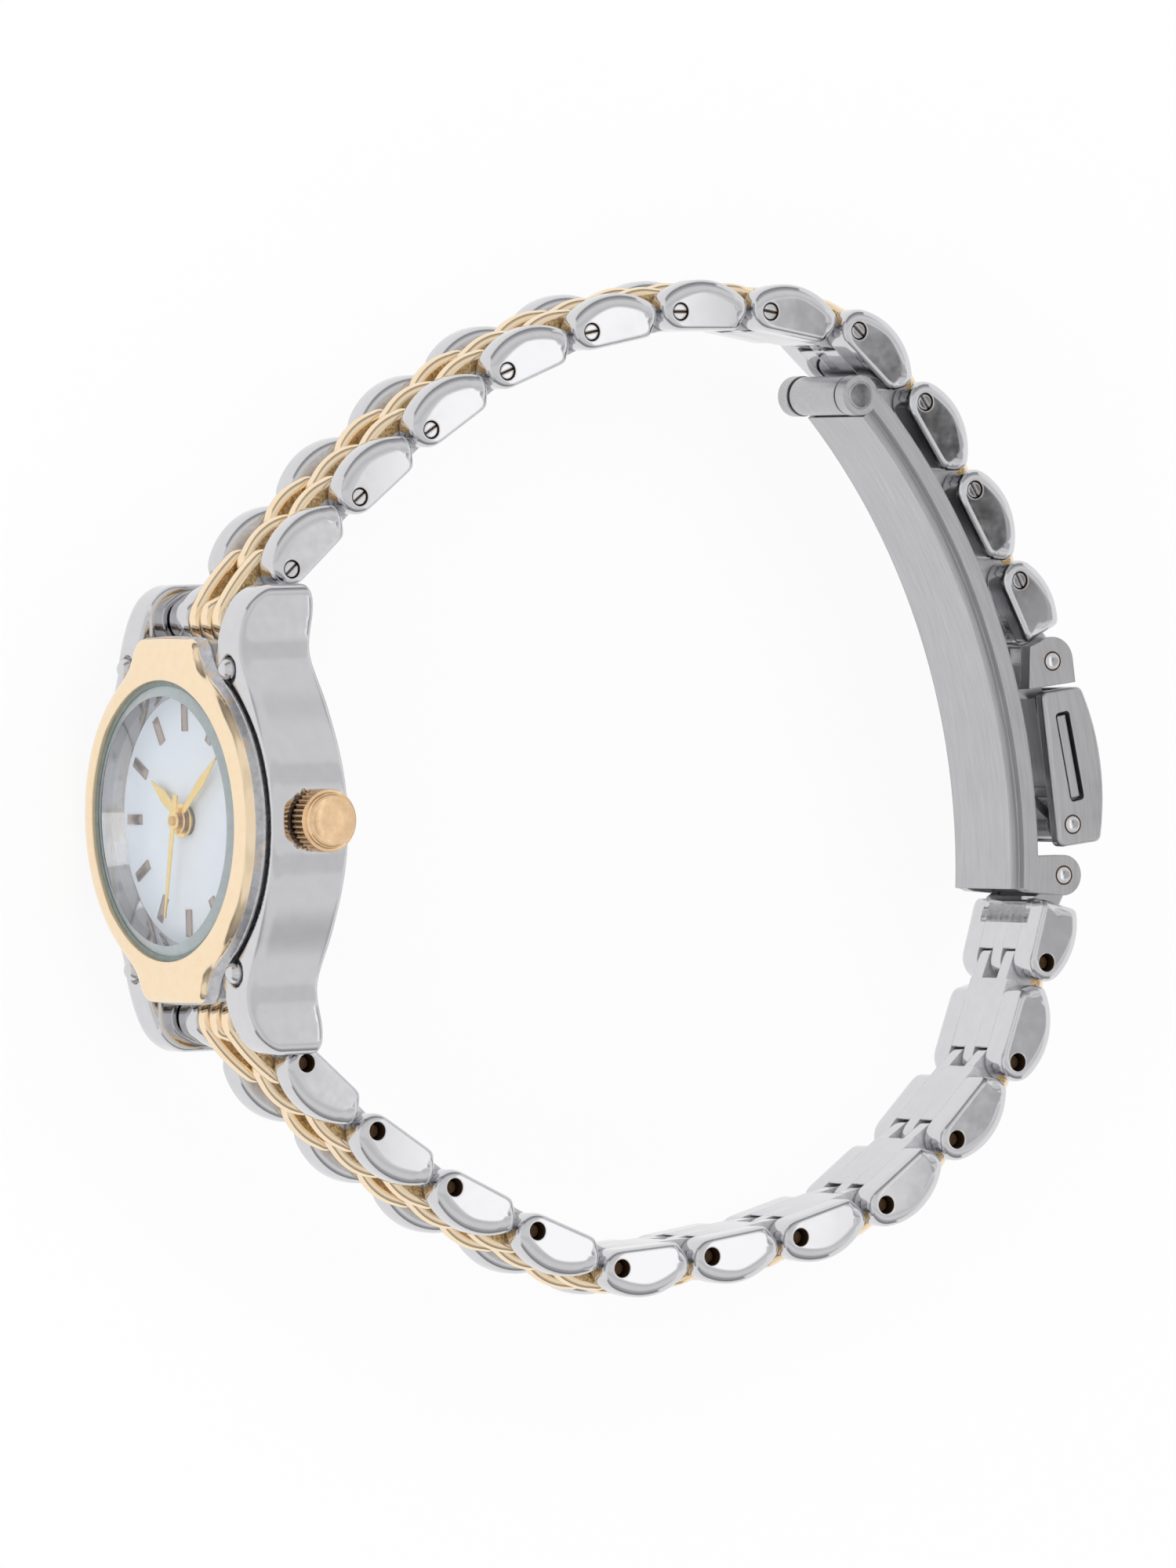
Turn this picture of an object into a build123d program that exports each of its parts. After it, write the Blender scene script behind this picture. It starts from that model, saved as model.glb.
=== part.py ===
from build123d import *
import math
import os

os.makedirs("parts", exist_ok=True)

# Small two tone bracelet watch, in millimetres, lying as it was photographed: on its edge, bracelet closed.
# The origin is the centre of the case back. The dial faces minus X and 12 o'clock is plus Y.
# The crown side is plus Z, so every bracelet hinge turns about a line along Z.
# The outline of each link is drawn in its own frame: along the strand, then outward, then across.

# Shared values
overrun = 2.0
face_gap = 0.1
running_gap = 0.05
pin_gap = 0.015

# Case: X runs from the front of the watch to the case back
case_wall = 2.4
case_front = -5.25
case_rear = -0.55
case_shoulder_height = 1.0
case_bore_radius = 8.5
dial_ledge_width = 0.6
lug_inner = 4.5
lug_thickness = 2.6
lug_reach = 14.2
lug_edge = 0.35
slot_gap = 0.1
spring_bar_x = -2.65
spring_bar_y = 12.1
lug_hole_depth = 1.7
dial_seat_depth = 0.7
# Side view of the case from its middle out to a lug tip, as shares of its depth and of the lug reach
shoulder_x_shares = (0.0, 0.106, 0.18, 0.128, 0.01, -0.287)
shoulder_y_shares = (0.458, 0.585, 0.69, 0.803, 0.901, 1.0)
heel_x_shares = (-0.011, -0.043, 0.085, 0.01)
heel_y_shares = (1.0, 0.894, 0.711, 0.54)

# Case back and its gasket
back_flange_inset = 2.0
back_flange_thickness = 1.0
back_bevel = 0.35
back_ring_wall = 0.6
back_ring_depth = 0.6
back_gasket_width = 0.7
back_gasket_thickness = 0.25

# Bezel, crystal and the ring under them
bezel_inset = 0.7
bezel_front = -7.35
bezel_lip_width = 0.45
bezel_skirt = 0.75
bezel_tab_overhang = 0.8
bezel_tab_half_width = 2.8
bezel_tab_root_half_width = 5.2
bezel_tab_root_inset = 0.15
bezel_tab_thickness = 1.15
bezel_tab_bevel = 0.35
crystal_gasket_width = 0.3
crystal_sink = 0.1
crystal_thickness = 1.0
crystal_bevel = 0.2
rehaut_gap = 0.04
rehaut_front_wall = 0.36
rehaut_rear_wall = 0.86
dial_thickness = 0.4
dial_hole_radius = 0.9
marker_margin = 0.55
marker_length = 1.65
marker_width = 0.62
marker_thickness = 0.2
marker_count = 12
bead_radius = 0.65
bead_overhang = 0.07
bead_lug_inset = 1.55
bead_sink = 0.25
bead_post_radius = 0.3
bead_post_length = 1.6

# Hands: they show 8 minutes and 32 seconds past 10, in degrees clockwise from 12
shown_hour_angle = 300.0
minute_hand_angle = 51.2
hand_thickness = 0.12
hour_hand_height = 0.47
hand_spacing = 0.3
hour_hand_margin = 3.3
minute_hand_margin = 1.3
second_hand_margin = 1.6
hour_hand_width = 0.75
minute_hand_width = 0.62
second_hand_width = 0.24
second_tail_length = 1.6
hand_belly_share = 0.6
hour_hub_radius = 1.05
minute_hub_radius = 0.8
second_hub_radius = 0.55
hour_pipe_radius = 0.75
cannon_radius = 0.5
seconds_arbor_radius = 0.22
hour_wheel_radius = 2.4
hour_wheel_thickness = 0.3
arbor_cap_radius = 0.3
arbor_cap_height = 0.1

# Movement
holder_wall = 0.65
plate_thickness = 1.1
wheel_recess_radius = 2.6
wheel_recess_depth = 0.45
bridge_space = 1.05
bridge_thickness = 0.5
bridge_inset = 0.15
pillar_radius = 0.6
pillar_inset = 1.05
pillar_angles = (75.0, 150.0, 310.0)
battery_axis_gap = 0.2
battery_thickness = 1.65
battery_angle = 217.67
battery_gap = 0.15
clip_thickness = 0.15
clip_width = 1.6
clip_foot_stand = 0.8
clip_angle = 135.0
coil_inset = 2.85
coil_radius = 0.5
coil_length = 4.6
coil_core_length = 6.6
coil_foot_length = 0.9
coil_foot_width = 1.1

# Crown, stem and tube on the 3 o'clock side
stem_x = -2.85
stem_radius = 0.35
stem_start = 3.6
stem_block_half_width = 0.9
stem_block_length = 2.6
tube_radius = 0.75
tube_bore_radius = 0.45
tube_depth = 2.6
tube_stand = 0.8
crown_radius = 1.9
crown_length = 1.7
crown_bore_radius = 1.15
crown_cap_radius = 1.7
crown_cap_height = 0.25
crown_rim_height = 0.3
crown_tooth_count = 30
crown_tooth_depth = 0.12
crown_tooth_width = 0.2
crown_gasket_length = 0.5
crown_gasket_offset = 0.15
crown_gasket_gap = 0.02

# Bracelet links
link_pitch = 6.5
end_link_length = 3.8
last_link_length = 5.6
link_half_width = 4.15
side_bar_inner = 2.1
rib_half_width = 0.65
wrist_side = 1.15
side_bar_height = 1.93
rib_height = 1.6
eye_radius = 1.1
plate_front_gap = 0.25
plate_rise = 0.4
side_bar_round = 0.45
rib_round = 0.35
link_pin_radius = 0.5
link_pin_recess = 0.12
link_pin_far_recess = 0.65
pin_rim_radius = 0.62
pin_rim_depth = 0.2
pin_slot_width = 0.14
pin_slot_depth = 0.15
# Outline of a side bar, along the pitch and over its height, from the crown of its round end
bar_front_share = 0.175
bar_nose_x_share = -0.09
bar_nose_y_share = 0.66
bar_crest_x_share = 0.385
bar_tail_x_share = 0.785
bar_tail_y_share = 0.31
bar_heel_x_share = 0.775
bar_heel_y_share = -0.05
bar_toe_x_share = 0.66
rib_crest_share = 0.3
rib_end_share = 0.7
rib_end_rise_share = 0.25
prong_start_share = 0.32
prong_start_rise_share = 0.35
prong_crest_share = 0.76
last_bar_end_gap = 1.8
knuckle_radius = 1.2

# End links, which hang on the spring bars between the lugs
end_link_gap = 0.25
end_barrel_radius = 1.5
end_rib_radius = 1.6
end_shoulder_length = 2.25
end_shoulder_height = 1.15
spring_bar_radius = 0.75
spring_bar_end_gap = 0.15
spring_tip_radius = 0.4
spring_tip_retract_gap = 0.06

# Headings of the end link and of links 1 to 11, in degrees from plus X, read off the photographed curve
upper_headings = (51.0, 41.0, 37.5, 32.0, 20.5, 10.0, -1.0, -11.5, -43.5, -57.5, -61.0, -64.5)
lower_headings = (-46.0, -41.5, -34.0, -26.5, -23.0, 4.0, 8.0, 15.5, 36.0, 45.0, 69.5, 73.0)

# Clasp: the cover is measured from the pin that joins it to the upper strand, down along the cover
cover_heading = -84.0
cover_start = 1.8
cover_end = 11.5
cover_wrist_side = 1.15
cover_wall = 0.8
cover_corner = 0.45
cover_edge_round = 0.25
cover_top_height = 1.75
cover_belly = 5.9
cover_belly_height = 2.6
cover_foot_height = 1.95
cover_hinge_reach = 10.2
cover_pin_radius = 0.55
slot_start = 3.2
slot_offset = 0.13
slot_tilt = 4.5
slot_length = 5.6
slot_width = 1.05
bar_length = 5.15
bar_thickness = 0.6
bar_end_recess = 0.2
tongue_thickness = 0.6
tongue_half_width = 2.6
tongue_end = 4.6
bracket_ear_inner = 2.8
bracket_ear_width = 1.1
bracket_nose = 1.5
bracket_tail = 1.5
bracket_wrist_side = 1.5
bracket_corner = 1.1
bracket_plate_wrist_side = 1.9
bracket_plate_thickness = 0.6
bracket_web_start = 1.3
bracket_web_end = 2.2
bracket_pin_radius = 0.55

# Clasp blades: both follow one circle through the foot and round the fold pin, just inside links 8 to 11
blade_outer_radius = 43.05
blade_foot_x = 53.13
blade_foot_y = -3.71
rail_thickness = 1.0
rail_inner = 2.8
rail_width = 1.0
channel_floor_thickness = 0.6
floor_overlap = 0.1
floor_side_overlap = 0.4
fold_thickness = 0.65
fold_sink = 0.1
fold_side_gap = 0.25
fold_pin_x = 40.9
fold_pin_y = 24.75
fold_pin_inset = 1.1
fold_pin_radius = 0.85
fold_ear_radius = 1.25
fold_barrel_radius = 1.2
fold_eye_radius = 0.9
fold_tail_angle = 5.5
blade_toe_angle = 3.18
floor_end_gap = 1.4
foot_ear_radius = 1.25
foot_pin_radius = 0.55
foot_toe_drop = 0.2


# Sizes that follow from the ones above
case_crest = case_front - case_shoulder_height
case_radius = case_bore_radius + case_wall
movement_bore_radius = case_bore_radius - dial_ledge_width
back_flange_radius = case_radius - back_flange_inset
back_recess_radius = back_flange_radius + face_gap
back_ring_radius = movement_bore_radius - face_gap
back_recess_floor = -back_flange_thickness - back_gasket_thickness
lug_outer = lug_inner + lug_thickness
slot_flat = spring_bar_y - end_rib_radius - slot_gap
bezel_radius = case_radius - bezel_inset
bezel_tab_reach = bezel_radius + bezel_tab_overhang
bezel_tab_root_radius = bezel_radius - bezel_tab_root_inset
bezel_tab_root_reach = math.sqrt(bezel_tab_root_radius ** 2 - bezel_tab_root_half_width ** 2)
crystal_radius = case_bore_radius - crystal_gasket_width
crystal_front = bezel_front + crystal_sink
crystal_rear = crystal_front + crystal_thickness
rehaut_outer_radius = case_bore_radius - rehaut_gap
rehaut_front_radius = rehaut_outer_radius - rehaut_front_wall
rehaut_rear_radius = rehaut_outer_radius - rehaut_rear_wall
dial_radius = case_bore_radius - face_gap
dial_seat = case_front + dial_seat_depth
dial_front = dial_seat - dial_thickness
marker_outer_radius = rehaut_rear_radius - marker_margin
bead_centre_x = case_crest + bead_sink
bead_z = lug_inner + bead_lug_inset
bead_y = math.sqrt((case_radius + bead_overhang) ** 2 - bead_z ** 2)
hour_hand_front = dial_front - hour_hand_height
minute_hand_front = hour_hand_front - hand_spacing
second_hand_front = minute_hand_front - hand_spacing
hour_hand_length = rehaut_rear_radius - hour_hand_margin
minute_hand_length = rehaut_rear_radius - minute_hand_margin
second_hand_length = rehaut_rear_radius - second_hand_margin
holder_radius = movement_bore_radius - running_gap
holder_inner_radius = holder_radius - holder_wall
plate_radius = holder_inner_radius - running_gap
plate_front = dial_seat + running_gap
plate_rear = plate_front + plate_thickness
bridge_front = plate_rear + bridge_space
bridge_rear = bridge_front + bridge_thickness
bridge_radius = plate_radius - bridge_inset
pillar_circle = plate_radius - pillar_inset
coil_y = plate_radius - coil_inset
battery_radius = (bridge_radius - battery_axis_gap) / 2
battery_offset = battery_axis_gap + battery_radius
battery_y = battery_offset * math.cos(math.radians(battery_angle))
battery_z = battery_offset * math.sin(math.radians(battery_angle))
clip_length = 2 * (battery_radius + clip_foot_stand)
battery_rear = plate_rear + battery_thickness
holder_rear = -back_flange_thickness - back_ring_depth - running_gap
tube_start = case_radius - tube_depth
tube_end = case_radius + tube_stand
crown_start = case_radius + face_gap
crown_end = crown_start + crown_length
prong_inner = rib_half_width + face_gap
prong_outer = side_bar_inner - face_gap
end_link_half_width = lug_inner - end_link_gap
spring_bar_half_length = end_link_half_width - spring_bar_end_gap
spring_tip_reach = lug_inner + lug_hole_depth - face_gap
spring_tip_retracted = lug_inner - spring_tip_retract_gap
bracket_ear_outer = bracket_ear_inner + bracket_ear_width
knuckle_half_width = bracket_ear_inner - face_gap
cover_half_width = link_half_width
rail_outer = rail_inner + rail_width
floor_half_width = rail_inner + floor_side_overlap
fold_half_width = rail_inner - fold_side_gap


def turned(angle):
    return math.cos(math.radians(angle)), math.sin(math.radians(angle))


def strand_points(side, headings):
    # Pin centres of one strand: spring bar, pins 1 to 11, then the pin at the clasp
    lengths = [end_link_length] + [link_pitch] * (len(headings) - 2) + [last_link_length]
    points = [(spring_bar_x, side * spring_bar_y)]
    for heading, length in zip(headings, lengths):
        along = turned(heading)
        x, y = points[-1]
        points.append((x + length * along[0], y + length * along[1]))
    return points


upper_points = strand_points(1, upper_headings)
lower_points = strand_points(-1, lower_headings)
cover_pin_point = upper_points[-1]
foot_pin_point = lower_points[-1]


def strand_plane(point, heading, side):
    # Links of the lower strand are the same pieces turned over
    along = turned(heading)
    return Plane(origin=(point[0], point[1], 0), x_dir=(along[0], along[1], 0), z_dir=(0, 0, side))


def save(part, label):
    part.label = label
    export_step(part, "parts/" + label + ".step")


# Case body: a round middle with four lugs, cut to the wavy side view
case_depth = case_rear - case_crest
lug_width = lug_outer - lug_inner
lug_middle = (lug_inner + lug_outer) / 2
bead_centres = [(bead_centre_x, y * bead_y, z * bead_z) for y in (1, -1) for z in (1, -1)]
with BuildPart() as case_body:
    with BuildSketch(Plane.YZ.offset(case_crest)):
        Circle(case_radius)
        with Locations((0, lug_middle), (0, -lug_middle)):
            RectangleRounded(2 * lug_reach, lug_width, lug_edge)
    extrude(amount=case_depth + lug_edge)
    with BuildSketch(Plane.XY.offset(-case_radius - overrun)):
        with BuildLine():
            front_points = [
                (case_front - (case_rear - case_front) * x, lug_reach * y)
                for x, y in zip(shoulder_x_shares, shoulder_y_shares)
            ]
            rear_points = [
                (case_rear - (case_rear - case_front) * x, lug_reach * y)
                for x, y in zip(heel_x_shares, heel_y_shares)
            ]
            Line((case_front, 0), front_points[0])
            Spline(*front_points, tangents=((-0.1, 1), (1, 0.35)))
            Line(front_points[-1], rear_points[0])
            Spline(*rear_points, tangents=((0.2, -1), (0, -1)))
            Line(rear_points[-1], (case_rear, 0))
            mirror(about=Plane.XZ)
        make_face()
    extrude(amount=2 * (case_radius + overrun), mode=Mode.INTERSECT)
    # Room for the bezel in front of the middle
    with BuildSketch(Plane.YZ.offset(case_front)):
        Circle(bezel_radius + face_gap)
        Rectangle(2 * (lug_reach + overrun), 2 * lug_inner)
    extrude(amount=-overrun, mode=Mode.SUBTRACT)
    # Slots between the lugs
    with BuildSketch(Plane.YZ.offset(case_crest - overrun)):
        slot_depth = lug_reach - slot_flat + overrun
        with Locations((slot_flat + slot_depth / 2, 0), (-slot_flat - slot_depth / 2, 0)):
            Rectangle(slot_depth, 2 * lug_inner)
    extrude(amount=case_depth + 2 * overrun, mode=Mode.SUBTRACT)
    # Bore, dial seat and case back recess
    with BuildSketch(Plane.YZ.offset(case_crest - overrun)):
        Circle(case_bore_radius)
    extrude(amount=dial_seat - case_crest + overrun, mode=Mode.SUBTRACT)
    with BuildSketch(Plane.YZ.offset(dial_seat)):
        Circle(movement_bore_radius)
    extrude(amount=case_depth, mode=Mode.SUBTRACT)
    with BuildSketch(Plane.YZ.offset(back_recess_floor)):
        Circle(back_recess_radius)
    extrude(amount=overrun, mode=Mode.SUBTRACT)
    # Crown tube hole
    with BuildSketch(Plane.XY.offset(movement_bore_radius / 2)):
        with Locations((stem_x, 0)):
            Circle(tube_radius)
    extrude(amount=case_radius, mode=Mode.SUBTRACT)
    # Blind holes for the spring bar tips
    for side in (1, -1):
        with BuildSketch(Plane.XY.offset(-lug_inner - lug_hole_depth)):
            with Locations((spring_bar_x, side * spring_bar_y)):
                Circle(spring_tip_radius + pin_gap)
        extrude(amount=2 * (lug_inner + lug_hole_depth), mode=Mode.SUBTRACT)
    # Pockets for the beads, with a hole for the post of each
    with BuildSketch(Plane.YZ.offset(bead_centre_x)):
        with GridLocations(2 * bead_y, 2 * bead_z, 2, 2):
            Circle(bead_post_radius)
    extrude(amount=bead_post_length, mode=Mode.SUBTRACT)
    with BuildSketch(Plane.YZ.offset(bead_centre_x + bead_radius)):
        with GridLocations(2 * bead_y, 2 * bead_z, 2, 2):
            Circle(bead_radius + running_gap)
    extrude(amount=-overrun, mode=Mode.SUBTRACT)
save(case_body.part, "case_body")

# Case back: a dished flange with an inner ring
with BuildPart() as case_back:
    with BuildSketch(Plane.YZ.offset(-back_flange_thickness)):
        Circle(back_flange_radius)
    extrude(amount=back_flange_thickness)
    chamfer(case_back.faces().sort_by(Axis.X)[-1].edges(), back_bevel)
    with BuildSketch(Plane.YZ.offset(-back_flange_thickness)):
        Circle(back_ring_radius)
        Circle(back_ring_radius - back_ring_wall, mode=Mode.SUBTRACT)
    extrude(amount=-back_ring_depth)
save(case_back.part, "case_back")

with BuildPart() as case_back_gasket:
    with BuildSketch(Plane.YZ.offset(back_recess_floor)):
        Circle(back_flange_radius)
        Circle(back_flange_radius - back_gasket_width, mode=Mode.SUBTRACT)
    extrude(amount=-back_flange_thickness - back_recess_floor)
save(case_back_gasket.part, "case_back_gasket")

# Bezel: a domed ring with a broad tab over each end of the case
with BuildPart() as bezel:
    with BuildSketch(Plane.XY):
        with BuildLine():
            lip = case_bore_radius + bezel_lip_width
            skirt_front = case_front - bezel_skirt
            middle_radius = (lip + bezel_radius) / 2 + bezel_lip_width / 2
            middle_front = (bezel_front + skirt_front) / 2 - bezel_lip_width / 2
            Line((bezel_front, case_bore_radius), (bezel_front, lip))
            ThreePointArc((bezel_front, lip), (middle_front, middle_radius), (skirt_front, bezel_radius))
            Line((skirt_front, bezel_radius), (case_front, bezel_radius))
            Line((case_front, bezel_radius), (case_front, case_bore_radius))
            Line((case_front, case_bore_radius), (bezel_front, case_bore_radius))
        make_face()
    revolve(axis=Axis.X)
    with BuildSketch(Plane.YZ.offset(case_front)):
        for side in (1, -1):
            with BuildLine():
                Polyline(
                    (side * bezel_tab_root_reach, bezel_tab_root_half_width),
                    (side * bezel_tab_reach, bezel_tab_half_width),
                    (side * bezel_tab_reach, -bezel_tab_half_width),
                    (side * bezel_tab_root_reach, -bezel_tab_root_half_width),
                    close=True,
                )
            make_face()
    extrude(amount=-bezel_tab_thickness)
    chamfer(
        bezel.edges().filter_by(Axis.Z).filter_by(
            lambda edge: abs(abs(edge.center().Y) - bezel_tab_reach) < face_gap
        ).filter_by(lambda edge: edge.center().X < case_front - face_gap),
        bezel_tab_bevel,
    )
    with BuildSketch(Plane.YZ.offset(case_front)):
        Circle(case_bore_radius)
    extrude(amount=-bezel_tab_thickness, mode=Mode.SUBTRACT)
save(bezel.part, "bezel")

with BuildPart() as crystal:
    with BuildSketch(Plane.YZ.offset(crystal_front)):
        Circle(crystal_radius)
    extrude(amount=crystal_thickness)
    chamfer(crystal.faces().sort_by(Axis.X)[0].edges(), crystal_bevel)
save(crystal.part, "crystal")

with BuildPart() as crystal_gasket:
    with BuildSketch(Plane.YZ.offset(crystal_front + crystal_bevel)):
        Circle(case_bore_radius)
        Circle(crystal_radius, mode=Mode.SUBTRACT)
    extrude(amount=crystal_thickness - crystal_bevel)
save(crystal_gasket.part, "crystal_gasket")

# Rehaut: the sloping ring between the crystal and the dial
with BuildPart() as rehaut_ring:
    with BuildSketch(Plane.XY):
        with BuildLine():
            Polyline(
                (crystal_rear, rehaut_front_radius),
                (crystal_rear, rehaut_outer_radius),
                (dial_front, rehaut_outer_radius),
                (dial_front, rehaut_rear_radius),
                close=True,
            )
        make_face()
    revolve(axis=Axis.X)
save(rehaut_ring.part, "rehaut_ring")

with BuildPart() as dial:
    with BuildSketch(Plane.YZ.offset(dial_front)):
        Circle(dial_radius)
        Circle(dial_hole_radius, mode=Mode.SUBTRACT)
    extrude(amount=dial_thickness)
save(dial.part, "dial")

# Twelve plain batons stand on the dial
with BuildPart() as hour_markers:
    with BuildSketch(Plane.YZ.offset(dial_front)):
        with PolarLocations(marker_outer_radius - marker_length / 2, marker_count):
            Rectangle(marker_length, marker_width)
    extrude(amount=-marker_thickness)
save(hour_markers.part, "hour_markers")

# Four beads on posts beside the bezel tabs
with BuildPart() as corner_beads:
    for centre in bead_centres:
        with BuildSketch(Plane(origin=centre, x_dir=(1, 0, 0), z_dir=(0, 0, 1))):
            with BuildLine():
                neck = math.sqrt(bead_radius ** 2 - bead_post_radius ** 2)
                ThreePointArc((-bead_radius, 0), (0, bead_radius), (neck, bead_post_radius))
                Polyline(
                    (neck, bead_post_radius),
                    (bead_post_length, bead_post_radius),
                    (bead_post_length, 0),
                    (-bead_radius, 0),
                )
            make_face()
        revolve(axis=Axis(centre, (1, 0, 0)))
save(corner_beads.part, "corner_beads")


# Hands: the second hand turns 60 times as far as the minute hand, the hour hand a twelfth as far
second_hand_angle = minute_hand_angle * 60
hour_hand_angle = shown_hour_angle + minute_hand_angle / 12


def hand_plane(front, clockwise):
    # A dial plane turned clockwise from 12, with its normal towards the case back
    along = turned(clockwise)
    return Plane(origin=(front, 0, 0), x_dir=(0, along[0], along[1]), z_dir=(1, 0, 0))


def leaf_hand(front, clockwise, length, width, hub_radius, bore_radius):
    # A leaf shaped hand with a round hub, widest at its belly
    with BuildPart() as hand:
        with BuildSketch(hand_plane(front, clockwise)):
            with BuildLine():
                belly = length * hand_belly_share
                Polyline(
                    (0, width / 4),
                    (belly, width / 2),
                    (length, 0),
                    (belly, -width / 2),
                    (0, -width / 4),
                    close=True,
                )
            make_face()
            Circle(hub_radius)
            Circle(bore_radius, mode=Mode.SUBTRACT)
        extrude(amount=hand_thickness)
    return hand.part


hour_sizes = (hour_hand_length, hour_hand_width, hour_hub_radius, hour_pipe_radius)
minute_sizes = (minute_hand_length, minute_hand_width, minute_hub_radius, cannon_radius)
save(leaf_hand(hour_hand_front, hour_hand_angle, *hour_sizes), "hour_hand")
save(leaf_hand(minute_hand_front, minute_hand_angle, *minute_sizes), "minute_hand")
with BuildPart() as second_hand:
    with BuildSketch(hand_plane(second_hand_front, second_hand_angle)):
        with BuildLine():
            Polyline(
                (-second_tail_length, second_hand_width),
                (second_hand_length, second_hand_width / 4),
                (second_hand_length, -second_hand_width / 4),
                (-second_tail_length, -second_hand_width),
                close=True,
            )
        make_face()
        Circle(second_hub_radius)
        Circle(seconds_arbor_radius, mode=Mode.SUBTRACT)
    extrude(amount=hand_thickness)
save(second_hand.part, "second_hand")

# The three arbors that carry the hands, one inside the other
wheel_front = plate_front + face_gap / 2
with BuildPart() as hour_pipe:
    with BuildSketch(Plane.YZ.offset(hour_hand_front)):
        Circle(hour_pipe_radius)
    extrude(amount=wheel_front + hour_wheel_thickness - hour_hand_front)
    with BuildSketch(Plane.YZ.offset(wheel_front)):
        Circle(hour_wheel_radius)
    extrude(amount=hour_wheel_thickness)
    with BuildSketch(Plane.YZ.offset(hour_hand_front)):
        Circle(cannon_radius + running_gap)
    extrude(amount=wheel_front + hour_wheel_thickness - hour_hand_front, mode=Mode.SUBTRACT)
save(hour_pipe.part, "hour_pipe")

cannon_rear = plate_front + plate_thickness - 2 * face_gap
with BuildPart() as cannon_pinion:
    with BuildSketch(Plane.YZ.offset(minute_hand_front)):
        Circle(cannon_radius)
        Circle(seconds_arbor_radius + running_gap, mode=Mode.SUBTRACT)
    extrude(amount=cannon_rear - minute_hand_front)
save(cannon_pinion.part, "cannon_pinion")

with BuildPart() as seconds_arbor:
    with BuildSketch(Plane.YZ.offset(second_hand_front)):
        Circle(seconds_arbor_radius)
    extrude(amount=cannon_rear + face_gap - second_hand_front)
    with BuildSketch(Plane.YZ.offset(second_hand_front)):
        Circle(arbor_cap_radius)
    extrude(amount=-arbor_cap_height)
save(seconds_arbor.part, "seconds_arbor")

# Movement: plate, bridge, battery, coil and the ring that holds them in the case
with BuildPart() as movement_plate:
    with BuildSketch(Plane.YZ.offset(plate_front)):
        Circle(plate_radius)
    extrude(amount=plate_thickness)
    with BuildSketch(Plane.YZ.offset(plate_front)):
        Circle(wheel_recess_radius)
    extrude(amount=wheel_recess_depth, mode=Mode.SUBTRACT)
    with BuildSketch(Plane.YZ.offset(plate_front)):
        Circle(cannon_radius + running_gap)
    extrude(amount=plate_thickness, mode=Mode.SUBTRACT)
    with BuildSketch(Plane.YZ.offset(plate_rear)):
        for angle in pillar_angles:
            with Locations((pillar_circle * turned(angle)[0], pillar_circle * turned(angle)[1])):
                Circle(pillar_radius)
        with Locations((0, stem_start + stem_block_length / 2)):
            Rectangle(2 * stem_block_half_width, stem_block_length)
    extrude(amount=bridge_front - plate_rear)
    with BuildSketch(Plane.XY.offset(stem_start - overrun)):
        with Locations((stem_x, 0)):
            Circle(stem_radius + running_gap)
    extrude(amount=case_radius, mode=Mode.SUBTRACT)
save(movement_plate.part, "movement_plate")

with BuildPart() as circuit_bridge:
    with BuildSketch(Plane.YZ.offset(bridge_front)):
        Circle(bridge_radius)
        with Locations((battery_y, battery_z)):
            Circle(battery_radius + battery_gap, mode=Mode.SUBTRACT)
    extrude(amount=bridge_thickness)
save(circuit_bridge.part, "circuit_bridge")

with BuildPart() as battery:
    with BuildSketch(Plane.YZ.offset(battery_rear)):
        with Locations((battery_y, battery_z)):
            Circle(battery_radius)
    extrude(amount=plate_rear - battery_rear)
save(battery.part, "battery")

# A spring strap over the battery, with a foot on the bridge at each end
with BuildPart() as battery_clip:
    with BuildSketch(Plane.YZ.offset(battery_rear)):
        with Locations(Location((battery_y, battery_z), clip_angle)):
            Rectangle(clip_length, clip_width)
    extrude(amount=clip_thickness)
    foot_reach = battery_radius + battery_gap + (clip_length / 2 - battery_radius - battery_gap) / 2
    with BuildSketch(Plane.YZ.offset(battery_rear)):
        for side in (1, -1):
            foot_y = battery_y + side * foot_reach * turned(clip_angle)[0]
            foot_z = battery_z + side * foot_reach * turned(clip_angle)[1]
            with Locations(Location((foot_y, foot_z), clip_angle)):
                Rectangle(clip_length / 2 - battery_radius - battery_gap, clip_width)
    extrude(amount=bridge_rear - battery_rear)
save(battery_clip.part, "battery_clip")

# Stepping motor coil on its core, with a foot at each end between plate and bridge
coil_x = (plate_rear + bridge_front) / 2
foot_height = bridge_front - plate_rear
with BuildPart() as coil:
    with BuildSketch(Plane.XY.offset(-coil_length / 2)):
        with Locations((coil_x, coil_y)):
            Circle(coil_radius)
    extrude(amount=coil_length)
    with BuildSketch(Plane.XY.offset(-coil_core_length / 2)):
        with Locations((coil_x, coil_y)):
            Rectangle(coil_radius, coil_radius)
    extrude(amount=coil_core_length)
    for start in (-coil_core_length / 2, coil_core_length / 2 - coil_foot_length):
        with BuildSketch(Plane.XY.offset(start)):
            with Locations((coil_x, coil_y)):
                Rectangle(foot_height, coil_foot_width)
        extrude(amount=coil_foot_length)
save(coil.part, "coil")

with BuildPart() as movement_holder:
    with BuildSketch(Plane.YZ.offset(plate_front)):
        Circle(holder_radius)
        Circle(holder_inner_radius, mode=Mode.SUBTRACT)
    extrude(amount=holder_rear - plate_front)
    with BuildSketch(Plane.XY.offset(holder_inner_radius / 2)):
        with Locations((stem_x, 0)):
            Circle(tube_radius)
    extrude(amount=case_radius, mode=Mode.SUBTRACT)
save(movement_holder.part, "movement_holder")

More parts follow.
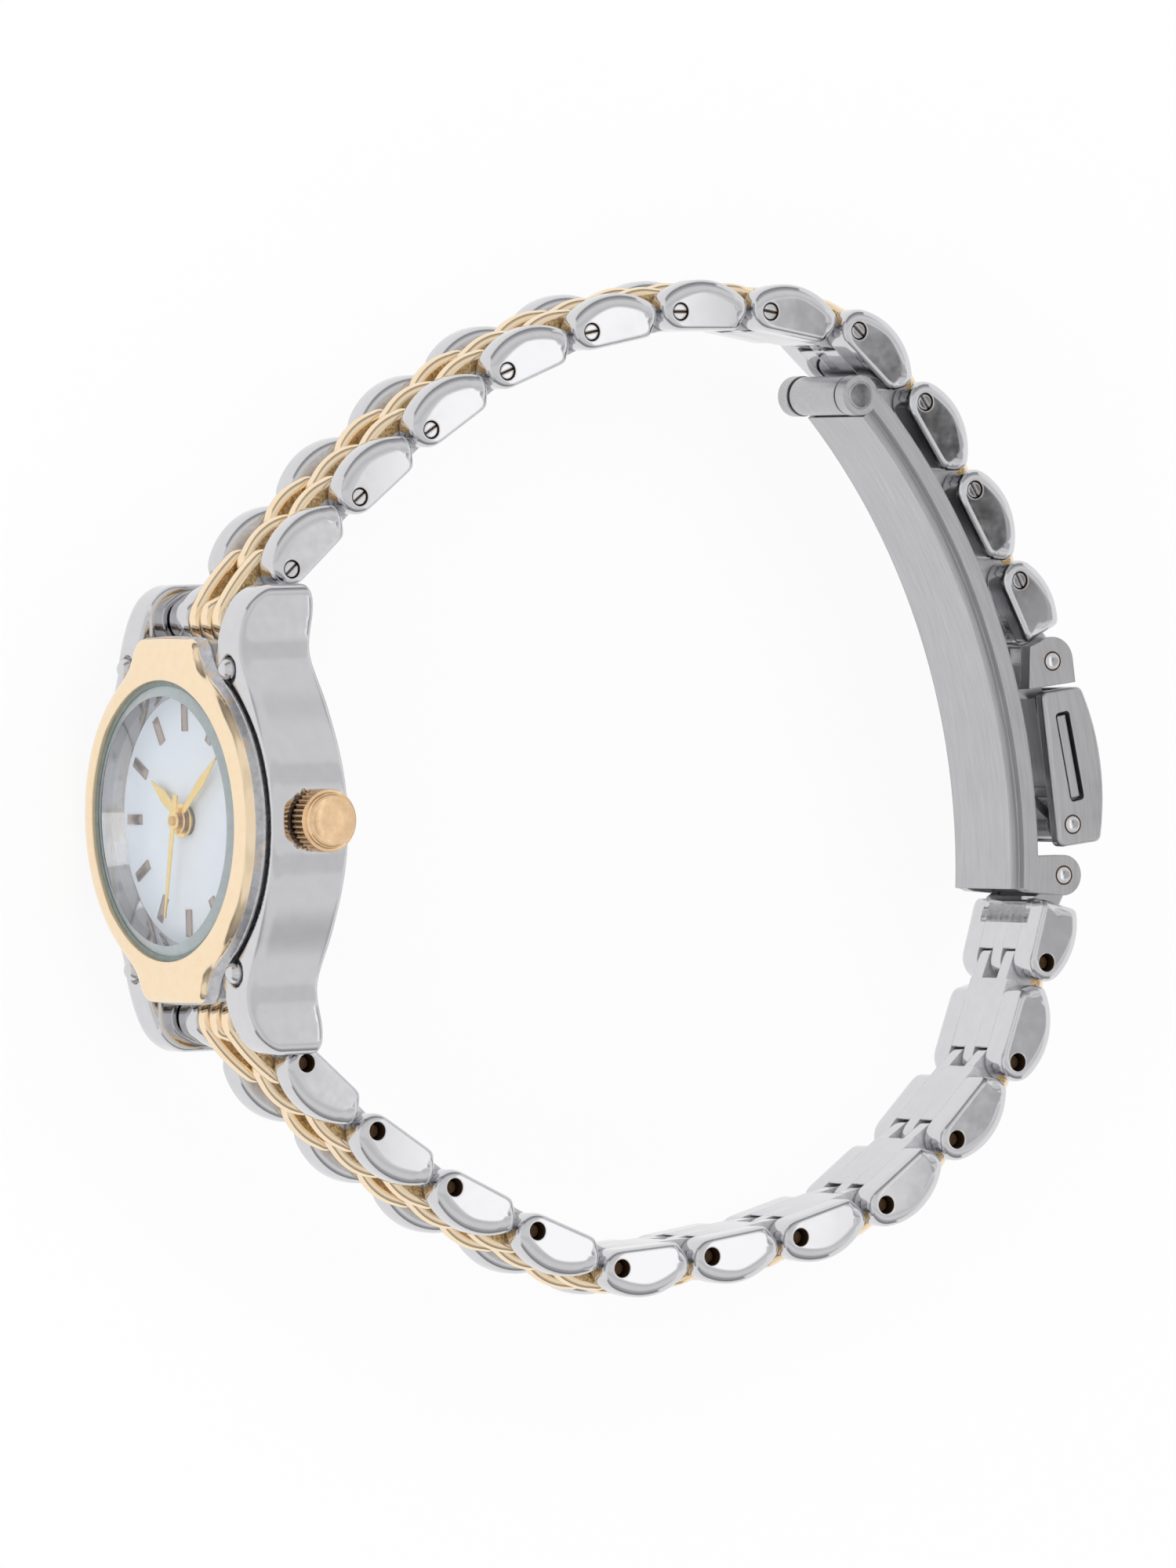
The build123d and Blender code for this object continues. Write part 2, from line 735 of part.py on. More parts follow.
# Crown tube, crown, its gasket and the stem
with BuildPart() as crown_tube:
    with BuildSketch(Plane.XY.offset(tube_start)):
        with Locations((stem_x, 0)):
            Circle(tube_radius)
            Circle(tube_bore_radius, mode=Mode.SUBTRACT)
    extrude(amount=tube_end - tube_start)
save(crown_tube.part, "crown_tube")

tooth_end = crown_end - crown_cap_height
crown_bore_end = tube_end + face_gap
with BuildPart() as crown:
    with BuildSketch(Plane.XY.offset(crown_start)):
        with Locations((stem_x, 0)):
            Circle(crown_radius)
            with PolarLocations(crown_radius, crown_tooth_count):
                Rectangle(2 * crown_tooth_depth, crown_tooth_width, mode=Mode.SUBTRACT)
    extrude(amount=tooth_end - crown_start - crown_rim_height)
    with BuildSketch(Plane.XY.offset(tooth_end - crown_rim_height)):
        with Locations((stem_x, 0)):
            Circle(crown_radius - crown_tooth_depth)
    extrude(amount=crown_rim_height)
    with BuildSketch(Plane.XY.offset(tooth_end)):
        with Locations((stem_x, 0)):
            Circle(crown_cap_radius)
    extrude(amount=crown_cap_height)
    chamfer(crown.faces().sort_by(Axis.Z)[-1].edges(), crown_cap_height / 2)
    with BuildSketch(Plane.XY.offset(crown_start)):
        with Locations((stem_x, 0)):
            Circle(crown_bore_radius)
    extrude(amount=crown_bore_end - crown_start, mode=Mode.SUBTRACT)
save(crown.part, "crown")

with BuildPart() as crown_gasket:
    with BuildSketch(Plane.XY.offset(crown_start + crown_gasket_offset)):
        with Locations((stem_x, 0)):
            Circle(crown_bore_radius - crown_gasket_gap)
            Circle(tube_radius + crown_gasket_gap, mode=Mode.SUBTRACT)
    extrude(amount=crown_gasket_length)
save(crown_gasket.part, "crown_gasket")

with BuildPart() as stem:
    with BuildSketch(Plane.XY.offset(stem_start)):
        with Locations((stem_x, 0)):
            Circle(stem_radius)
    extrude(amount=crown_bore_end - stem_start)
save(stem.part, "stem")


def spring_bar(side, tip_reach):
    # A telescopic bar: a wide barrel with a thinner tip at each end
    with BuildPart() as bar:
        for radius, reach in ((spring_bar_radius, spring_bar_half_length), (spring_tip_radius, tip_reach)):
            with BuildSketch(Plane.XY.offset(-reach)):
                with Locations((spring_bar_x, side * spring_bar_y)):
                    Circle(radius)
            extrude(amount=2 * reach)
    return bar.part


save(spring_bar(1, spring_tip_reach), "spring_bar_12")
save(spring_bar(-1, spring_tip_retracted), "spring_bar_6")


# Bracelet pieces are drawn once, flat in their own frame, then set along the two strands
def raised_rib(inner, outer, points, round_size):
    # One lengthways rib whose crowned outline is points, with its top edges rounded
    with BuildPart() as rib:
        with BuildSketch(Plane.XY.offset(inner)):
            with BuildLine():
                start, crest, end = points
                ThreePointArc(start, crest, end)
                Line(end, (end[0], -plate_rise))
                Line((end[0], -plate_rise), (start[0], -plate_rise))
                Line((start[0], -plate_rise), start)
            make_face()
        extrude(amount=outer - inner)
        fillet(rib.edges().filter_by(GeomType.CIRCLE), round_size)
    return rib.part


middle_rib = raised_rib(
    -rib_half_width,
    rib_half_width,
    (
        (0, eye_radius),
        (link_pitch * rib_crest_share, rib_height),
        (link_pitch * rib_end_share, rib_height * rib_end_rise_share),
    ),
    rib_round,
)
prong_rib = raised_rib(
    prong_inner,
    prong_outer,
    (
        (link_pitch * prong_start_share, rib_height * prong_start_rise_share),
        (link_pitch * prong_crest_share, rib_height),
        (link_pitch, eye_radius),
    ),
    rib_round,
)


def link_blank(last):
    # One link: two side bars, a middle rib, two prongs for the next pin and a plate that ties them
    bar_end = link_pitch * bar_tail_x_share
    if last:
        bar_end = last_link_length - last_bar_end_gap
    with BuildPart() as blank:
        for side in (1, -1):
            with BuildSketch(Plane.XY.offset(side * side_bar_inner)):
                with BuildLine():
                    nose = (link_pitch * bar_nose_x_share, side_bar_height * bar_nose_y_share)
                    crest = (link_pitch * bar_crest_x_share, side_bar_height)
                    tail = (link_pitch * bar_tail_x_share, side_bar_height * bar_tail_y_share)
                    heel = (link_pitch * bar_heel_x_share, side_bar_height * bar_heel_y_share)
                    toe = (link_pitch * bar_toe_x_share, -wrist_side)
                    ThreePointArc((0, -wrist_side), (-link_pitch * bar_front_share, 0), nose)
                    ThreePointArc(nose, crest, tail)
                    Line(tail, heel)
                    Line(heel, toe)
                    Line(toe, (0, -wrist_side))
                make_face()
            extrude(amount=side * (link_half_width - side_bar_inner))
        outline = blank.faces().filter_by(Axis.Z).filter_by(
            lambda face: abs(face.center().Z) > link_half_width - face_gap
        )
        fillet(outline.edges(), side_bar_round)
        if last:
            with BuildSketch(Plane.XZ.offset(-side_bar_height - overrun)):
                with Locations((bar_end + link_pitch / 2, 0)):
                    Rectangle(link_pitch, 2 * (link_half_width + overrun))
            extrude(amount=2 * (side_bar_height + overrun), mode=Mode.SUBTRACT)
        # Wrist side plate, stopped short of the eyes at both ends
        plate_start = eye_radius + plate_front_gap
        plate_end = link_pitch - eye_radius - plate_front_gap
        if last:
            plate_end = bar_end
        with BuildSketch(Plane.XY.offset(-side_bar_inner)):
            with BuildLine():
                Polyline(
                    (plate_start, -wrist_side),
                    (plate_end, -wrist_side),
                    (plate_end, -wrist_side + plate_rise),
                    (link_pitch * rib_end_share, plate_rise),
                    (plate_start, plate_rise),
                    close=True,
                )
            make_face()
        extrude(amount=2 * side_bar_inner)
        # The middle rib turns round this link's own pin
        with BuildSketch(Plane.XY.offset(-rib_half_width)):
            Circle(eye_radius)
            with Locations((plate_start / 2, -wrist_side / 2 + plate_rise / 2)):
                Rectangle(plate_start + face_gap, wrist_side + plate_rise - face_gap)
        extrude(amount=2 * rib_half_width)
        add(middle_rib)
        if last:
            with BuildSketch(Plane.XY.offset(-knuckle_half_width)):
                with Locations((last_link_length, 0)):
                    Circle(knuckle_radius)
                with BuildLine():
                    Polyline(
                        (bar_end / 2, -wrist_side),
                        (bar_end, -wrist_side),
                        (last_link_length - knuckle_radius, -knuckle_radius / 2),
                        (last_link_length, 0),
                        (last_link_length, knuckle_radius),
                        (bar_end / 2, plate_rise),
                        close=True,
                    )
                make_face()
            extrude(amount=2 * knuckle_half_width)
            hole_x = last_link_length
            hole_radius = bracket_pin_radius + running_gap
        else:
            add(prong_rib)
            add(mirror(prong_rib, about=Plane.XY))
            for side in (1, -1):
                with BuildSketch(Plane.XY.offset(side * prong_inner)):
                    with Locations((link_pitch, 0)):
                        Circle(eye_radius)
                    with BuildLine():
                        Polyline(
                            (plate_end - plate_front_gap, -wrist_side),
                            (link_pitch, -eye_radius),
                            (link_pitch, eye_radius / 2),
                            (plate_end - plate_front_gap, plate_rise),
                            close=True,
                        )
                    make_face()
                extrude(amount=side * (prong_outer - prong_inner))
            hole_x = link_pitch
            hole_radius = link_pin_radius + running_gap
        # Hole at the far end, then the hole for this link's own pin with its rims
        with BuildSketch(Plane.XY.offset(-link_half_width)):
            with Locations((hole_x, 0)):
                Circle(hole_radius)
        extrude(amount=2 * link_half_width, mode=Mode.SUBTRACT)
        with BuildSketch(Plane.XY.offset(-link_half_width - overrun)):
            Circle(link_pin_radius + pin_gap)
        extrude(amount=2 * (link_half_width + overrun), mode=Mode.SUBTRACT)
        for side in (1, -1):
            with BuildSketch(Plane.XY.offset(side * link_half_width)):
                Circle(pin_rim_radius)
            extrude(amount=-side * pin_rim_depth, mode=Mode.SUBTRACT)
    return blank.part


# The link pin: slotted head on one side, a plain end deep in its hole on the other
with BuildPart() as link_pin:
    pin_top = link_half_width - link_pin_recess
    with BuildSketch(Plane.XY.offset(link_pin_far_recess - link_half_width)):
        Circle(link_pin_radius)
    extrude(amount=pin_top + link_half_width - link_pin_far_recess)
    with BuildSketch(Plane.XY.offset(pin_top)):
        Rectangle(2 * (link_pin_radius + overrun), pin_slot_width)
    extrude(amount=-pin_slot_depth, mode=Mode.SUBTRACT)

# The end link: a barrel for the spring bar, two shoulders, and three ribs that run on to the first pin
with BuildPart() as end_blank:
    with BuildSketch(Plane.XY.offset(-end_link_half_width)):
        Circle(end_barrel_radius)
    extrude(amount=2 * end_link_half_width)
    for side in (1, -1):
        with BuildSketch(Plane.XY.offset(side * side_bar_inner)):
            with BuildLine():
                Polyline(
                    (0, -end_barrel_radius),
                    (end_shoulder_length, -wrist_side),
                    (end_shoulder_length, end_shoulder_height / 2),
                    (end_shoulder_length / 2, end_shoulder_height),
                    (0, end_barrel_radius),
                    close=True,
                )
            make_face()
        extrude(amount=side * (end_link_half_width - side_bar_inner))
    with BuildSketch(Plane.XY.offset(-prong_outer)):
        with BuildLine():
            Polyline(
                (0, -end_barrel_radius),
                (end_shoulder_length, -wrist_side),
                (end_shoulder_length, plate_rise),
                (0, end_barrel_radius),
                close=True,
            )
        make_face()
    extrude(amount=2 * prong_outer)
    for inner, width in (
        (-rib_half_width, 2 * rib_half_width),
        (prong_inner, prong_outer - prong_inner),
        (-prong_outer, prong_outer - prong_inner),
    ):
        with BuildSketch(Plane.XY.offset(inner)):
            Circle(end_rib_radius)
            if inner != -rib_half_width:
                with Locations((end_link_length, 0)):
                    Circle(eye_radius)
                with BuildLine():
                    ThreePointArc(
                        (0, end_rib_radius),
                        (end_link_length / 2, end_barrel_radius),
                        (end_link_length, eye_radius),
                    )
                    Line((end_link_length, eye_radius), (end_link_length, -eye_radius))
                    Line((end_link_length, -eye_radius), (0, -end_barrel_radius))
                    Line((0, -end_barrel_radius), (0, end_rib_radius))
                make_face()
            else:
                with BuildLine():
                    Polyline(
                        (0, end_rib_radius),
                        (end_shoulder_length, end_shoulder_height / 2),
                        (end_shoulder_length, -wrist_side),
                        (0, -end_barrel_radius),
                        close=True,
                    )
                make_face()
        extrude(amount=width)
    with BuildSketch(Plane.XY.offset(-end_link_half_width)):
        Circle(spring_bar_radius + running_gap)
    extrude(amount=2 * end_link_half_width, mode=Mode.SUBTRACT)
    with BuildSketch(Plane.XY.offset(-prong_outer)):
        with Locations((end_link_length, 0)):
            Circle(link_pin_radius + running_gap)
    extrude(amount=2 * prong_outer, mode=Mode.SUBTRACT)

plain_link = link_blank(False)
last_link = link_blank(True)
for strand, side, points, headings in (
    ("upper", 1, upper_points, upper_headings),
    ("lower", -1, lower_points, lower_headings),
):
    end_name = "end_link_12" if side == 1 else "end_link_6"
    save(strand_plane(points[0], headings[0], side).location * end_blank.part, end_name)
    for number in range(1, len(headings)):
        place = strand_plane(points[number], headings[number], side).location
        blank = last_link if number == len(headings) - 1 else plain_link
        with BuildPart() as link:
            add(place * blank)
            add(place * link_pin.part)
        save(link.part, f"{strand}_link_{number:02d}")

# Clasp cover frame: along the cover from its pin, then outward
cover_along = turned(cover_heading)


def cover_plane(height):
    return Plane(
        origin=(cover_pin_point[0], cover_pin_point[1], height),
        x_dir=(cover_along[0], cover_along[1], 0),
        z_dir=(0, 0, 1),
    )


def cover_point(along, outward):
    x = cover_pin_point[0] + along * cover_along[0] - outward * cover_along[1]
    y = cover_pin_point[1] + along * cover_along[1] + outward * cover_along[0]
    return x, y


def slot_plane(height):
    start = cover_point(slot_start, slot_offset)
    along = turned(cover_heading + slot_tilt)
    return Plane(origin=(start[0], start[1], height), x_dir=(along[0], along[1], 0), z_dir=(0, 0, 1))


hinge_point = cover_point(cover_hinge_reach, 0)

# Bracket: two ears on the last upper link, a plate behind them and a tongue into the cover
with BuildPart() as clasp_bracket:
    for side in (1, -1):
        with BuildSketch(cover_plane(side * bracket_ear_inner)):
            Circle(bracket_nose)
            with BuildLine():
                Polyline(
                    (0, bracket_nose),
                    (bracket_tail, bracket_nose),
                    (bracket_tail, -bracket_plate_wrist_side),
                    (-bracket_corner, -bracket_wrist_side),
                    (-bracket_nose, 0),
                    close=True,
                )
            make_face()
            Circle(bracket_pin_radius, mode=Mode.SUBTRACT)
        extrude(amount=side * (bracket_ear_outer - bracket_ear_inner))
    with BuildSketch(cover_plane(-bracket_ear_outer)):
        with BuildLine():
            plate_top = bracket_plate_thickness - bracket_plate_wrist_side
            Polyline(
                (0, plate_top),
                (bracket_tail, plate_top),
                (bracket_tail, -bracket_plate_wrist_side),
                (0, -bracket_wrist_side - face_gap),
                close=True,
            )
        make_face()
    extrude(amount=2 * bracket_ear_outer)
    with BuildSketch(cover_plane(-tongue_half_width)):
        with BuildLine():
            web_top = slot_offset - bar_thickness / 2
            Polyline(
                (bracket_web_start, web_top),
                (bracket_web_end, web_top),
                (bracket_web_end, plate_top),
                (bracket_tail, -bracket_plate_wrist_side),
                (bracket_web_start, -bracket_plate_wrist_side),
                close=True,
            )
        make_face()
    extrude(amount=2 * tongue_half_width)
    with BuildSketch(slot_plane(-tongue_half_width)):
        with BuildLine():
            tongue_start = bracket_web_start - slot_start
            Polyline(
                (tongue_start, -bar_thickness / 2),
                (tongue_end, -bar_thickness / 2),
                (tongue_end, -bar_thickness / 2 - tongue_thickness),
                (tongue_start, -bar_thickness / 2 - tongue_thickness),
                close=True,
            )
        make_face()
    extrude(amount=2 * tongue_half_width)
save(clasp_bracket.part, "clasp_bracket")

with BuildPart() as bracket_spring_bar:
    with BuildSketch(cover_plane(-bracket_ear_outer)):
        Circle(bracket_pin_radius)
    extrude(amount=2 * bracket_ear_outer)
save(bracket_spring_bar.part, "bracket_spring_bar")

# The adjuster bar lies on the tongue and shows in the slot of each cover wall
with BuildPart() as adjuster_bar:
    with BuildSketch(slot_plane(bar_end_recess - cover_half_width)):
        with Locations((slot_length / 2, 0)):
            Rectangle(bar_length, bar_thickness)
    extrude(amount=2 * (cover_half_width - bar_end_recess))
save(adjuster_bar.part, "adjuster_bar")

# Cover: a channel with a crowned roof, open towards the wrist and at both ends
with BuildPart() as clasp_cover:
    with BuildSketch(cover_plane(-cover_half_width)):
        with BuildLine():
            Polyline(
                (cover_start, cover_top_height),
                (cover_start, -cover_wrist_side),
                (cover_end, -cover_wrist_side),
                (cover_end, cover_foot_height),
            )
            ThreePointArc(
                (cover_end, cover_foot_height),
                (cover_belly, cover_belly_height),
                (cover_start, cover_top_height),
            )
        make_face()
    extrude(amount=2 * cover_half_width)
    corners = clasp_cover.edges().filter_by(Axis.Z)
    fillet(corners, cover_corner)
    rims = clasp_cover.faces().filter_by(Axis.Z).edges()
    fillet(rims, cover_edge_round)
    with BuildSketch(cover_plane(cover_wall - cover_half_width)):
        with BuildLine():
            Polyline(
                (cover_start - overrun, cover_top_height - cover_wall),
                (cover_start - overrun, -cover_wrist_side - overrun),
                (cover_end + overrun, -cover_wrist_side - overrun),
                (cover_end + overrun, cover_foot_height - cover_wall),
                (cover_end, cover_foot_height - cover_wall),
            )
            ThreePointArc(
                (cover_end, cover_foot_height - cover_wall),
                (cover_belly, cover_belly_height - cover_wall),
                (cover_start, cover_top_height - cover_wall),
            )
            Line(
                (cover_start, cover_top_height - cover_wall),
                (cover_start - overrun, cover_top_height - cover_wall),
            )
        make_face()
    extrude(amount=2 * (cover_half_width - cover_wall), mode=Mode.SUBTRACT)
    with BuildSketch(slot_plane(-cover_half_width - overrun)):
        with Locations((slot_length / 2, 0)):
            RectangleRounded(slot_length, slot_width, cover_edge_round)
    extrude(amount=2 * (cover_half_width + overrun), mode=Mode.SUBTRACT)
    with BuildSketch(cover_plane(-cover_half_width)):
        with Locations((cover_hinge_reach, 0)):
            Circle(cover_pin_radius)
    extrude(amount=2 * cover_half_width, mode=Mode.SUBTRACT)
save(clasp_cover.part, "clasp_cover")

with BuildPart() as cover_hinge_pin:
    with BuildSketch(cover_plane(-cover_half_width)):
        with Locations((cover_hinge_reach, 0)):
            Circle(cover_pin_radius)
    extrude(amount=2 * cover_half_width)
save(cover_hinge_pin.part, "cover_hinge_pin")


# Centre of the blade circle: as far from the foot as its radius, and that less the inset from the fold pin
fold_pin_point = (fold_pin_x, fold_pin_y)
chord = math.hypot(fold_pin_x - blade_foot_x, fold_pin_y - blade_foot_y)
chord_x = (fold_pin_x - blade_foot_x) / chord
chord_y = (fold_pin_y - blade_foot_y) / chord
pin_circle_radius = blade_outer_radius - fold_pin_inset
chord_foot = (blade_outer_radius ** 2 - pin_circle_radius ** 2 + chord ** 2) / (2 * chord)
chord_rise = math.sqrt(blade_outer_radius ** 2 - chord_foot ** 2)
blade_centre_x = blade_foot_x + chord_foot * chord_x - chord_rise * chord_y
blade_centre_y = blade_foot_y + chord_foot * chord_y + chord_rise * chord_x
fold_pin_angle = math.degrees(math.atan2(fold_pin_y - blade_centre_y, fold_pin_x - blade_centre_x))
foot_point_angle = math.degrees(math.atan2(blade_foot_y - blade_centre_y, blade_foot_x - blade_centre_x))
blade_foot_angle = foot_point_angle - blade_toe_angle


def blade_point(radius, angle):
    along = turned(angle)
    return blade_centre_x + radius * along[0], blade_centre_y + radius * along[1]


def blade_band(outer, inner, low, high):
    # Outline of a curved strip between two radii and two angles of the blade circle
    middle = (low + high) / 2
    ThreePointArc(blade_point(outer, low), blade_point(outer, middle), blade_point(outer, high))
    Line(blade_point(outer, high), blade_point(inner, high))
    ThreePointArc(blade_point(inner, high), blade_point(inner, middle), blade_point(inner, low))
    Line(blade_point(inner, low), blade_point(outer, low))


fold_outer_radius = blade_outer_radius - fold_sink
fold_inner_radius = fold_outer_radius - fold_thickness

# Fold blade: a curved strip with a barrel at one end and an eye under the cover at the other
with BuildPart() as fold_blade:
    with BuildSketch(Plane.XY.offset(-fold_half_width)):
        with BuildLine():
            blade_band(fold_outer_radius, fold_inner_radius, fold_tail_angle, fold_pin_angle)
        make_face()
        with BuildLine():
            reach_x = hinge_point[0] - blade_point(fold_outer_radius, fold_tail_angle)[0]
            reach_y = hinge_point[1] - blade_point(fold_outer_radius, fold_tail_angle)[1]
            reach = math.hypot(reach_x, reach_y)
            half_x = -reach_y / reach * fold_thickness / 2
            half_y = reach_x / reach * fold_thickness / 2
            Polyline(
                blade_point(fold_outer_radius, fold_tail_angle),
                blade_point(fold_inner_radius, fold_tail_angle),
                (hinge_point[0] - half_x, hinge_point[1] - half_y),
                (hinge_point[0] + half_x, hinge_point[1] + half_y),
                close=True,
            )
        make_face()
        with Locations(hinge_point):
            Circle(fold_eye_radius)
        with Locations(fold_pin_point):
            Circle(fold_barrel_radius)
            Circle(fold_pin_radius + running_gap, mode=Mode.SUBTRACT)
        with Locations(hinge_point):
            Circle(cover_pin_radius + running_gap, mode=Mode.SUBTRACT)
    extrude(amount=2 * fold_half_width)
save(fold_blade.part, "fold_blade")

# Base blade: two rails over a raised floor, with ears for the fold pin and for the lower strand
rail_inner_radius = blade_outer_radius - rail_thickness
floor_end_angle = fold_pin_angle - math.degrees(floor_end_gap / blade_outer_radius)
with BuildPart() as base_blade:
    for side in (1, -1):
        with BuildSketch(Plane.XY.offset(side * rail_inner)):
            with BuildLine():
                blade_band(blade_outer_radius, rail_inner_radius, blade_foot_angle, fold_pin_angle)
            make_face()
            with Locations(fold_pin_point):
                Circle(fold_ear_radius)
            with Locations(foot_pin_point):
                Circle(foot_ear_radius)
            with BuildLine():
                heel_point = blade_point(rail_inner_radius, blade_foot_angle)
                toe_x = blade_foot_x - rail_thickness / 2
                Polyline(
                    (toe_x, foot_pin_point[1] + foot_ear_radius),
                    (foot_pin_point[0], foot_pin_point[1] + foot_ear_radius),
                    (foot_pin_point[0], foot_pin_point[1] - foot_ear_radius),
                    (heel_point[0] + rail_thickness / 2, heel_point[1] - foot_toe_drop),
                    heel_point,
                    close=True,
                )
            make_face()
            with Locations(fold_pin_point):
                Circle(fold_pin_radius, mode=Mode.SUBTRACT)
            with Locations(foot_pin_point):
                Circle(foot_pin_radius, mode=Mode.SUBTRACT)
        extrude(amount=side * (rail_outer - rail_inner))
    with BuildSketch(Plane.XY.offset(-floor_half_width)):
        with BuildLine():
            floor_outer_radius = rail_inner_radius + floor_overlap
            floor_inner_radius = rail_inner_radius - channel_floor_thickness
            blade_band(floor_outer_radius, floor_inner_radius, blade_foot_angle, floor_end_angle)
        make_face()
    extrude(amount=2 * floor_half_width)
save(base_blade.part, "base_blade")

# The two pins that the base blade holds
with BuildPart() as base_blade_pins:
    with BuildSketch(Plane.XY.offset(-rail_outer)):
        with Locations(fold_pin_point):
            Circle(fold_pin_radius)
        with Locations(foot_pin_point):
            Circle(foot_pin_radius)
    extrude(amount=2 * rail_outer)
save(base_blade_pins.part, "base_blade_pins")
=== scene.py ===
import bmesh
import bpy
import cmath
import math
import numpy as np
from mathutils import Matrix, Vector


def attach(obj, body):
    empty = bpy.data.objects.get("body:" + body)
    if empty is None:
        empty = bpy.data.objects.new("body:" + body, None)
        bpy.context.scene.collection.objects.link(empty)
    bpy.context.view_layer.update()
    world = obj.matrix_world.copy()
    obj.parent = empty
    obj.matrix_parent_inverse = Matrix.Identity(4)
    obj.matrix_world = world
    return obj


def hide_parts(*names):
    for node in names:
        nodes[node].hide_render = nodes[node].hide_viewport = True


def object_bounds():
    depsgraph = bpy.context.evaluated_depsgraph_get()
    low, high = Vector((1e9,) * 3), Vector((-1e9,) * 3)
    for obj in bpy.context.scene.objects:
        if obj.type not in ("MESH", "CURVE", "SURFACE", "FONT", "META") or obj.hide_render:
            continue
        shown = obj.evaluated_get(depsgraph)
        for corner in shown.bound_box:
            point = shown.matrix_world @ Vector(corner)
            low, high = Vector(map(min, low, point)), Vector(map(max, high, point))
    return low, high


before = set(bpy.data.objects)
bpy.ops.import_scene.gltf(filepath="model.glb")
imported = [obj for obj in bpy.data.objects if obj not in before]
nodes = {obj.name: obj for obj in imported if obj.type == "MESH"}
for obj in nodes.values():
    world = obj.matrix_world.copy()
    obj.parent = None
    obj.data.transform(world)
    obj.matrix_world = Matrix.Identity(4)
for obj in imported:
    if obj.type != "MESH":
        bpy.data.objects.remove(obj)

cad_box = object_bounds()
mm = 0.001

# Case: one cast and machined middle of 316L stainless steel with four lugs.
# It is polished all over on soft wheels, so it mirrors the room with a faint ripple and worn fine lines.
# The back is pressed and polished too, and turned marks ring it.


def linear(code):
    # An sRGB hex colour as the linear values that a shader takes
    parts = [int(code[i:i + 2], 16) / 255 for i in (1, 3, 5)]
    return tuple([p / 12.92 if p <= 0.04045 else ((p + 0.055) / 1.055) ** 2.4 for p in parts]) + (1,)


def put(tree, kind, inputs=None, **settings):
    # Adds a node and gives its outputs; an input takes a value, the socket it is linked to, or a list of sockets
    made = tree.nodes.new(kind)
    for name, value in settings.items():
        setattr(made, name, value)
    for name, value in (inputs or {}).items():
        for source in value if isinstance(value, list) else [value]:
            if isinstance(source, bpy.types.NodeSocket):
                tree.links.new(source, made.inputs[name])
            else:
                made.inputs[name].default_value = source
    return made.outputs


def started(name):
    # A material with an empty tree, its tree, and the spot on the piece that is shaded
    material = bpy.data.materials.new(name)
    material.use_nodes = True
    tree = material.node_tree
    tree.nodes.clear()
    return material, tree, put(tree, "ShaderNodeTexCoord")["Object"]


def noise(tree, spot, size, detail=2.0, roughness=0.5):
    # Noise of about this size in mm, over the piece or in bands along one number
    banded = spot.type == "VALUE"
    inputs = {"W" if banded else "Vector": spot, "Scale": 1 / (size * mm), "Detail": detail, "Roughness": roughness}
    return put(tree, "ShaderNodeTexNoise", inputs, noise_dimensions="1D" if banded else "3D")["Fac"]


def blend(tree, share, low, high):
    # A colour between two, each a hex code or a socket
    low, high = [linear(c) if isinstance(c, str) else c for c in (low, high)]
    return put(tree, "ShaderNodeMix", {"Factor": share, 6: low, 7: high}, data_type="RGBA")[2]


def ranged(tree, value, low, high, start=0.0, end=1.0, **settings):
    # A value between start and end, moved to between low and high
    inputs = {"Value": value, "From Min": start, "From Max": end, "To Min": low, "To Max": high}
    return put(tree, "ShaderNodeMapRange", inputs, **settings)["Result"]


def worn(tree, edge):
    # The normal with edges rounded over, edge in mm
    return put(tree, "ShaderNodeBevel", {"Radius": edge * mm}, samples=4)["Normal"]


def bumped(tree, height, strength, depth, edge=0):
    # The normal bent by a height, with its depth and the worn edge in mm
    inputs = {"Strength": strength, "Distance": depth * mm, "Height": height}
    if edge:
        inputs["Normal"] = worn(tree, edge)
    return put(tree, "ShaderNodeBump", inputs)["Normal"]


def coat(tree, colour, rough, normal=None, **more):
    # A surface shader; more holds its other inputs, with a low line for each space
    inputs = {"Base Color": colour, "Roughness": rough}
    if normal is not None:
        inputs["Normal"] = normal
    inputs.update({name.replace("_", " "): value for name, value in more.items()})
    return put(tree, "ShaderNodeBsdfPrincipled", inputs)["BSDF"]


def shown(tree, shader):
    # The output of the tree
    put(tree, "ShaderNodeOutputMaterial", {"Surface": shader})


# Mirror-polished stainless steel: a grey metal, nearly sharp reflections, bent a little by hand polishing
polished_steel, tree, place = started("mirror_polished_stainless_steel")
ripple, haze = noise(tree, place, 2.2, 1.5), noise(tree, place, 0.9, 5.0)
shown(tree, coat(tree, blend(tree, haze, "#cfcfd2", "#dadadc"), ranged(tree, haze, 0.05, 0.13, 0.3, 0.75),
                 bumped(tree, ripple, 0.12, 0.012, edge=0.16), Metallic=1.0))


def reach_from(tree, spot, mask):
    # How far a spot is from the line where the coordinates that mask keeps are 0
    flat = put(tree, "ShaderNodeVectorMath", {0: spot, 1: mask}, operation="MULTIPLY")["Vector"]
    return put(tree, "ShaderNodeVectorMath", {0: flat}, operation="LENGTH")["Value"]


# Turned steel: rings 0.15 mm apart round the middle of the case back
turned_steel, tree, place = started("turned_and_polished_steel_back")
rings = noise(tree, reach_from(tree, place, (0, 1, 1)), 0.15, 3.0)
shown(tree, coat(tree, blend(tree, rings, "#bcbcbf", "#d6d6d8"), ranged(tree, rings, 0.12, 0.34),
                 bumped(tree, rings, 0.4, 0.006), Metallic=1.0))


def finish(material, *names):
    # Gives these CAD nodes a material; their shapes stay
    for name in names:
        nodes[name].material_slots[0].material = material


finish(polished_steel, "crown_tube")
finish(turned_steel, "case_back")


